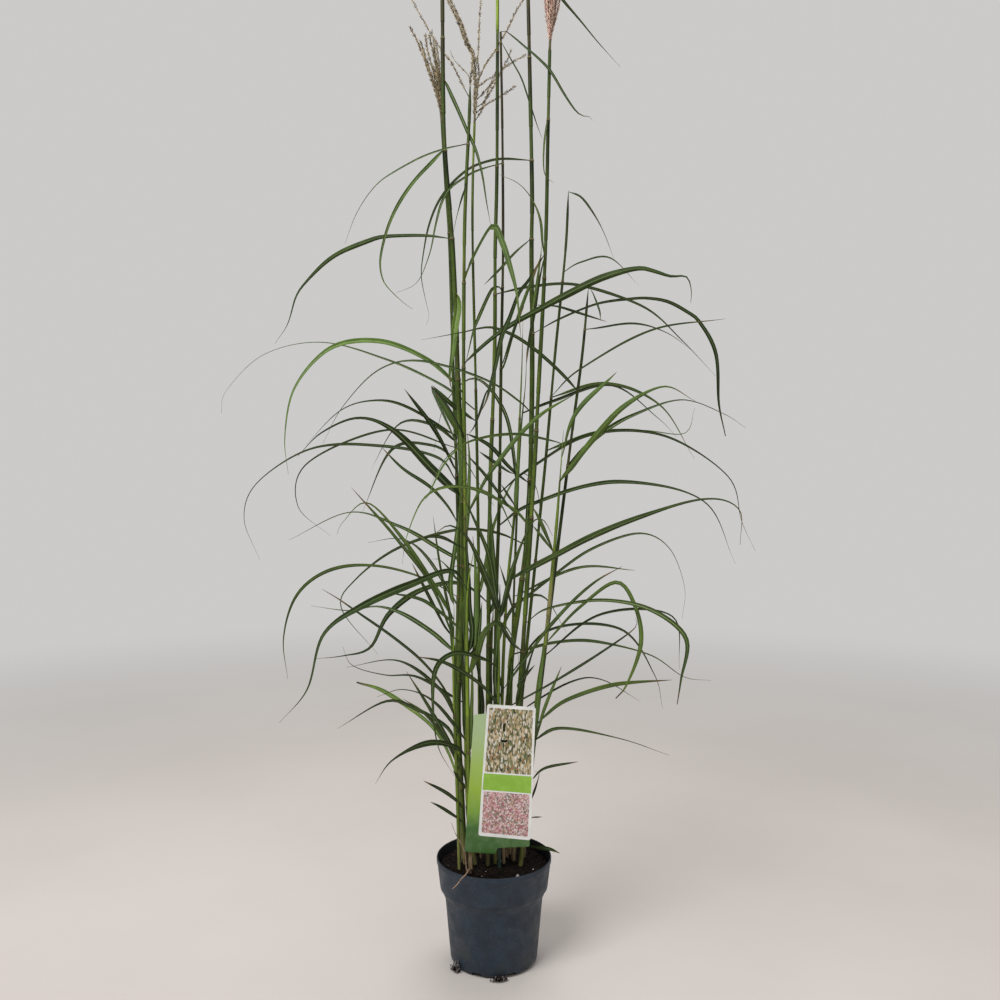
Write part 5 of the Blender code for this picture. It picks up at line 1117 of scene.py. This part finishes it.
for vert in spikelet.data.vertices:
    if math.hypot(vert.co.x, vert.co.y) < 0.00001 and vert.co.z < 0:
        vert.co.z -= 0.0016
apply_place()
bpy.ops.mesh.primitive_cone_add(vertices=3, radius1=0.00006, radius2=0.0, depth=0.0060, location=(0, 0, 0.003))
hair = made("hair")
apply_place()


def head_finish(name, dark, light):
    """Spikelets and branches that run from a dark to a light colour, by their tone."""
    dusty = Finish(name, 0.65)
    cloud = dusty.mask(patches, 160.0, 0.3, 0.7)
    shade = dusty.maths("ADD", dusty.kept("tone"), dusty.maths("MULTIPLY_ADD", cloud, 0.3, -0.15), clamp=True)
    dusty.finish(dusty.mix(shade, dark, light), dusty.spread(cloud, 0.0, 1.0, 0.55, 0.75),
                 (0.3, 0.0002, dusty.cloud(2600.0, 2.0)))
    return dusty


HEAD_FINISHES = {"cream": head_finish("spikelets_cream", (0.030, 0.017, 0.009), (0.56, 0.46, 0.30)),
                 "olive": head_finish("spikelets_olive", (0.035, 0.024, 0.012), (0.38, 0.29, 0.16)),
                 "pink": head_finish("spikelets_pink", (0.25, 0.125, 0.095), (0.72, 0.51, 0.41))}
branch_skin = head_finish("flower_branches", (0.050, 0.040, 0.016), (0.20, 0.17, 0.08))


def part_way(share, line):
    """The place at a share of a line's count of points."""
    return np.array([np.interp(share, np.linspace(0, 1, len(line)), line[:, k]) for k in range(3)])


for node, cane_name, look, depth_tip, rib, thick, gap, hairs, branches in FLOWER_HEADS:
    chance = random.Random(node)
    cane_top = canes[cane_name].line[-1]
    depths = np.linspace(cane_top[1] / CM, depth_tip, 24)
    line = np.array([seen(x, z, depth) for (x, z), depth in zip(smooth(rib, 24), depths)])
    line = line + (cane_top - line[0]) * np.linspace(1, 0, 24)[:, None] ** 3
    pieces = [rod("rib", line, np.linspace(thick, 0.25 * thick, 24) * CM, 7)]
    grains, threads = [], []
    for start, aside, full, *numbers in branches:
        places = list(zip(numbers[::2], numbers[1::2]))
        if isinstance(start, str):
            start = canes[start].nearest(places.pop(0)[1])
        else:
            start = part_way(start, line)
        first, last = start[1] / CM, depth_tip + aside
        if len(places) == 1:
            tip = seen(*places[0], last)
            lean = np.array((chance.gauss(0, 0.004), chance.gauss(0, 0.004), 0.006))
            route = [start, start + 0.2 * (tip - start) + (0, 0, 0.004), start + 0.45 * (tip - start) + lean, tip]
        else:
            route = [start] + [seen(x, z, first + (last - first) * (number + 1) / len(places))
                               for number, (x, z) in enumerate(places)]
        route = smooth(route, 20)
        pieces.append(rod("branch", route, np.linspace(0.0008, 0.0003, 20), 5, chance.uniform(0.1, 0.8)))
        steps = int(np.linalg.norm(np.diff(route, axis=0), axis=1).sum() * full / gap)
        for number in range(steps):
            along = 0.10 + 0.90 * (number + chance.uniform(-0.2, 0.2)) / steps
            spot = part_way(along, route)
            ahead = unit(route[min(19, int(along * 19) + 1)] - route[int(along * 19)])
            shade = chance.random() ** 0.8
            for pair in range(2):
                turn = number * 2.4 + pair * math.pi + chance.uniform(-0.5, 0.5)
                out = unit(np.cross(ahead, (math.cos(turn), math.sin(turn), 0.4)))
                way = unit(ahead + out * chance.uniform(0.25, 0.6))
                wide = unit(np.cross(way, out))
                size = chance.uniform(0.85, 1.25)
                axes = (2.1 * size * wide, 1.7 * size * np.cross(wide, way), size * way)
                grains.append((spot + out * 0.0006, axes, held(0.0, shade + chance.uniform(-0.15, 0.15), 1.0)))
                for strand in range(hairs):
                    fan = unit(way + 0.5 * np.array([chance.gauss(0, reach) for reach in (1, 1, 0.6)]))
                    side = unit(np.cross(fan, (0.3, 0.9, 0.1)))
                    axes = (side, np.cross(fan, side), chance.uniform(0.7, 1.3) * fan)
                    threads.append((spot, axes, 0.8 + 0.2 * chance.random()))
    branch_skin.dress(*pieces)
    for places, model in ((grains, spikelet), (threads, hair)):
        if places:
            pieces.append(copies("grains", model, places))
            HEAD_FINISHES[look].dress(pieces[-1])
    head = joined(node + "_plume", *pieces)
    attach(head, "root")
    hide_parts(node)
bpy.data.objects.remove(spikelet)
bpy.data.objects.remove(hair)

# The plant label: one thin plastic card, die-cut with a slot to hang it and a smile-shaped slot, and printed
# on its front: a green border, and a white-framed panel with a plain pattern of seeds and dots and a lime
# band. It has no words, and its back is plain white.
LABEL_LEAN, LABEL_FOOT = 0.045, 17.0


def label_place(x, z, front=0.0):
    """A point of the label's face, which leans a little towards the front as it rises."""
    place = seen(x, z, FRONT_DEPTH - LABEL_LEAN * (z - LABEL_FOOT))
    return Vector((place[0], place[1] - front, place[2]))


def card_shape(name, front, thickness, rounding, skin, *numbers):
    """A flat piece of the card with rounded corners, from its corners as seen from the front."""
    bpy.ops.object.select_all(action="DESELECT")
    bpy.ops.mesh.primitive_circle_add(vertices=len(numbers) // 2, radius=1, fill_type="NGON")
    shape = made(name)
    for vert, x, z in zip(shape.data.vertices, numbers[::2], numbers[1::2]):
        vert.co = label_place(x, z, front)
    shape.data.update()
    bpy.ops.object.mode_set(mode="EDIT")
    bpy.ops.mesh.select_all(action="SELECT")
    bpy.ops.mesh.bevel(offset=rounding, segments=5, affect="VERTICES")
    bpy.ops.object.mode_set(mode="OBJECT")
    if shape.data.polygons[0].normal.y > 0:
        shape.data.flip_normals()
    shaped(shape, "SOLIDIFY", thickness=thickness, offset=-1)
    if skin:
        skin.dress(shape)
    return shape


def card_finish(name, first, second, size=70.0, roughness=0.34):
    """A plain card of one colour that varies softly towards another."""
    card = Finish(name, roughness)
    card.finish(card.mix(card.mask(patches, size, 0.4, 0.7), first, second))
    return card


def print_finish(name, layers, grounds):
    """A printed field: a soft ground of two colours under layers of small motifs in inks picked at random."""
    field = Finish(name, 0.34, coat=0.25)
    spot = field.add("SeparateXYZ", field.place).outputs
    flat = field.add("CombineXYZ", spot[0], spot[2]).outputs[0]
    base = field.mix(field.mask(patches, 70.0, 0.38, 0.62), *grounds)
    for size, lean, slim, reach, share, *inks in layers:
        turned = field.add("Mapping", flat)
        turned.inputs["Rotation"].default_value = (0, 0, math.radians(lean))
        turned.inputs["Scale"].default_value = (1.0, slim, 1.0)
        cells = field.add("TexVoronoi", turned.outputs[0], None, size, voronoi_dimensions="2D").outputs
        pick = field.add("SeparateColor", cells["Color"]).outputs
        stops = [(number / len(inks), ink) for number, ink in enumerate(inks)]
        motif = field.maths("MULTIPLY", field.spread(cells["Distance"], reach, reach - 0.10),
                            field.maths("LESS_THAN", pick[0], share))
        base = field.mix(motif, base, field.ramp(pick[1], *stops, between="CONSTANT"), 0.92)
    field.finish(base)
    return field


white_card = card_finish("white_card", (0.88, 0.88, 0.86), (0.80, 0.80, 0.78), 45.0, roughness=0.36)
lime_card = card_finish("lime_card", (0.26, 0.50, 0.045), (0.32, 0.56, 0.07))
green_card = Finish("green_card", 0.34, coat=0.25)
height = green_card.spread(green_card.add("SeparateXYZ", green_card.place).outputs[2], 0.17, 0.415)
base = green_card.ramp(height, (0.0, (0.036, 0.125, 0.016)), (0.16, (0.040, 0.140, 0.018)),
                       (0.30, (0.19, 0.36, 0.026)), (0.52, (0.32, 0.50, 0.035)), (0.75, (0.36, 0.53, 0.10)),
                       (1.0, (0.42, 0.56, 0.30)))
green_card.finish(green_card.mix(green_card.mask(patches, 80.0, 0.4, 0.7), base, (0.4, 0.5, 0.3), 0.12))
CREAM, STRAW, RUST = (0.62, 0.53, 0.38), (0.50, 0.36, 0.18), (0.36, 0.17, 0.07)
PINE, MOSS, CHALK = (0.022, 0.034, 0.012), (0.16, 0.18, 0.06), (0.76, 0.72, 0.64)
ROSE, PETAL, PEARL, SLATE = (0.42, 0.11, 0.15), (0.68, 0.40, 0.41), (0.76, 0.64, 0.64), (0.15, 0.155, 0.13)
seeds = print_finish("seed_pattern", ((260.0, 14, 0.34, 0.46, 0.85, PINE, MOSS, STRAW, MOSS),
                                      (300.0, -22, 0.30, 0.44, 0.75, CREAM, RUST, STRAW, CREAM, PINE),
                                      (210.0, 6, 0.42, 0.42, 0.60, CREAM, CHALK, STRAW, CREAM),
                                      (420.0, 40, 0.40, 0.44, 0.55, PINE, CHALK, MOSS)),
                     ((0.36, 0.30, 0.18), (0.14, 0.145, 0.06)))
dots = print_finish("dot_pattern", ((250.0, 0, 0.9, 0.46, 0.85, ROSE, PETAL, SLATE, PETAL),
                                    (330.0, 30, 0.8, 0.44, 0.80, PEARL, PETAL, PEARL, ROSE),
                                    (210.0, 12, 0.85, 0.36, 0.50, PEARL, (0.50, 0.30, 0.18), PETAL)),
                    ((0.50, 0.26, 0.26), (0.24, 0.22, 0.16)))
layers = [card_shape(*row) for row in (
    ("card", 0.0009, 0.0009, 0.0022, green_card, -4.9, 17.5, 0.2, 17.15, 0.65, 18.15, 5.9, 18.35, 6.95, 41.5,
     -1.05, 42.1, -1.2, 40.5, -3.35, 40.3),
    ("panel", 0.00098, 0.00098, 0.0035, white_card, -2.6, 20.2, 6.05, 19.4, 6.93, 41.55, -1.12, 42.05),
    ("upper_field", 0.00104, 0.0002, 0.0016, seeds, -1.50, 30.8, 6.12, 30.2, 6.50, 41.05, -0.74, 41.5),
    ("lower_field", 0.00104, 0.0002, 0.0016, dots, -2.08, 20.72, 5.62, 20.0, 5.92, 27.1, -1.68, 27.7),
    ("band_edge", 0.00116, 0.0003, 0.0006, white_card, -2.05, 27.62, 6.32, 26.98, 6.45, 30.28, -1.83, 30.85),
    ("band", 0.00122, 0.0003, 0.0005, lime_card, -1.88, 27.85, 6.14, 27.22, 6.26, 30.04, -1.68, 30.60))]
for corners in ((1.46, 37.5, 1.88, 37.5, 1.92, 38.9, 1.50, 38.9),
                (1.0, 36.15, 2.4, 36.10, 2.2, 35.75, 1.7, 35.6, 1.2, 35.75)):
    punch = card_shape("punch", 0.004, 0.008, 0.0006, None, *corners)
    for layer in layers[:3]:
        shaped(layer, "BOOLEAN", object=punch, operation="DIFFERENCE")
    bpy.data.objects.remove(punch)
layers[0].data.materials.append(white_card.material)
for face in layers[0].data.polygons:
    face.material_index = int(face.normal.y > 0.5)
label = joined("label_print", *layers)
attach(label, "root")
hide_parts("label_card")

# The label's stake: a flat strip of dark green-grey plastic, pushed into the soil behind the card. It is the
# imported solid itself, dusted with peat.
dull = Finish("stake_plastic", 0.45)
base = dull.mix(dull.mask(patches, 70.0, 0.4, 0.7), (0.030, 0.055, 0.045), (0.050, 0.085, 0.068))
dull.finish(dull.mix(dull.mask(specks, 500.0, 0.2, 0.2), base, (0.12, 0.10, 0.08), 0.4),
            dull.spread(dull.mask(patches, 120.0, 0.3, 0.7), 0, 1, 0.4, 0.6))
dull.dress(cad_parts["label_stake"])
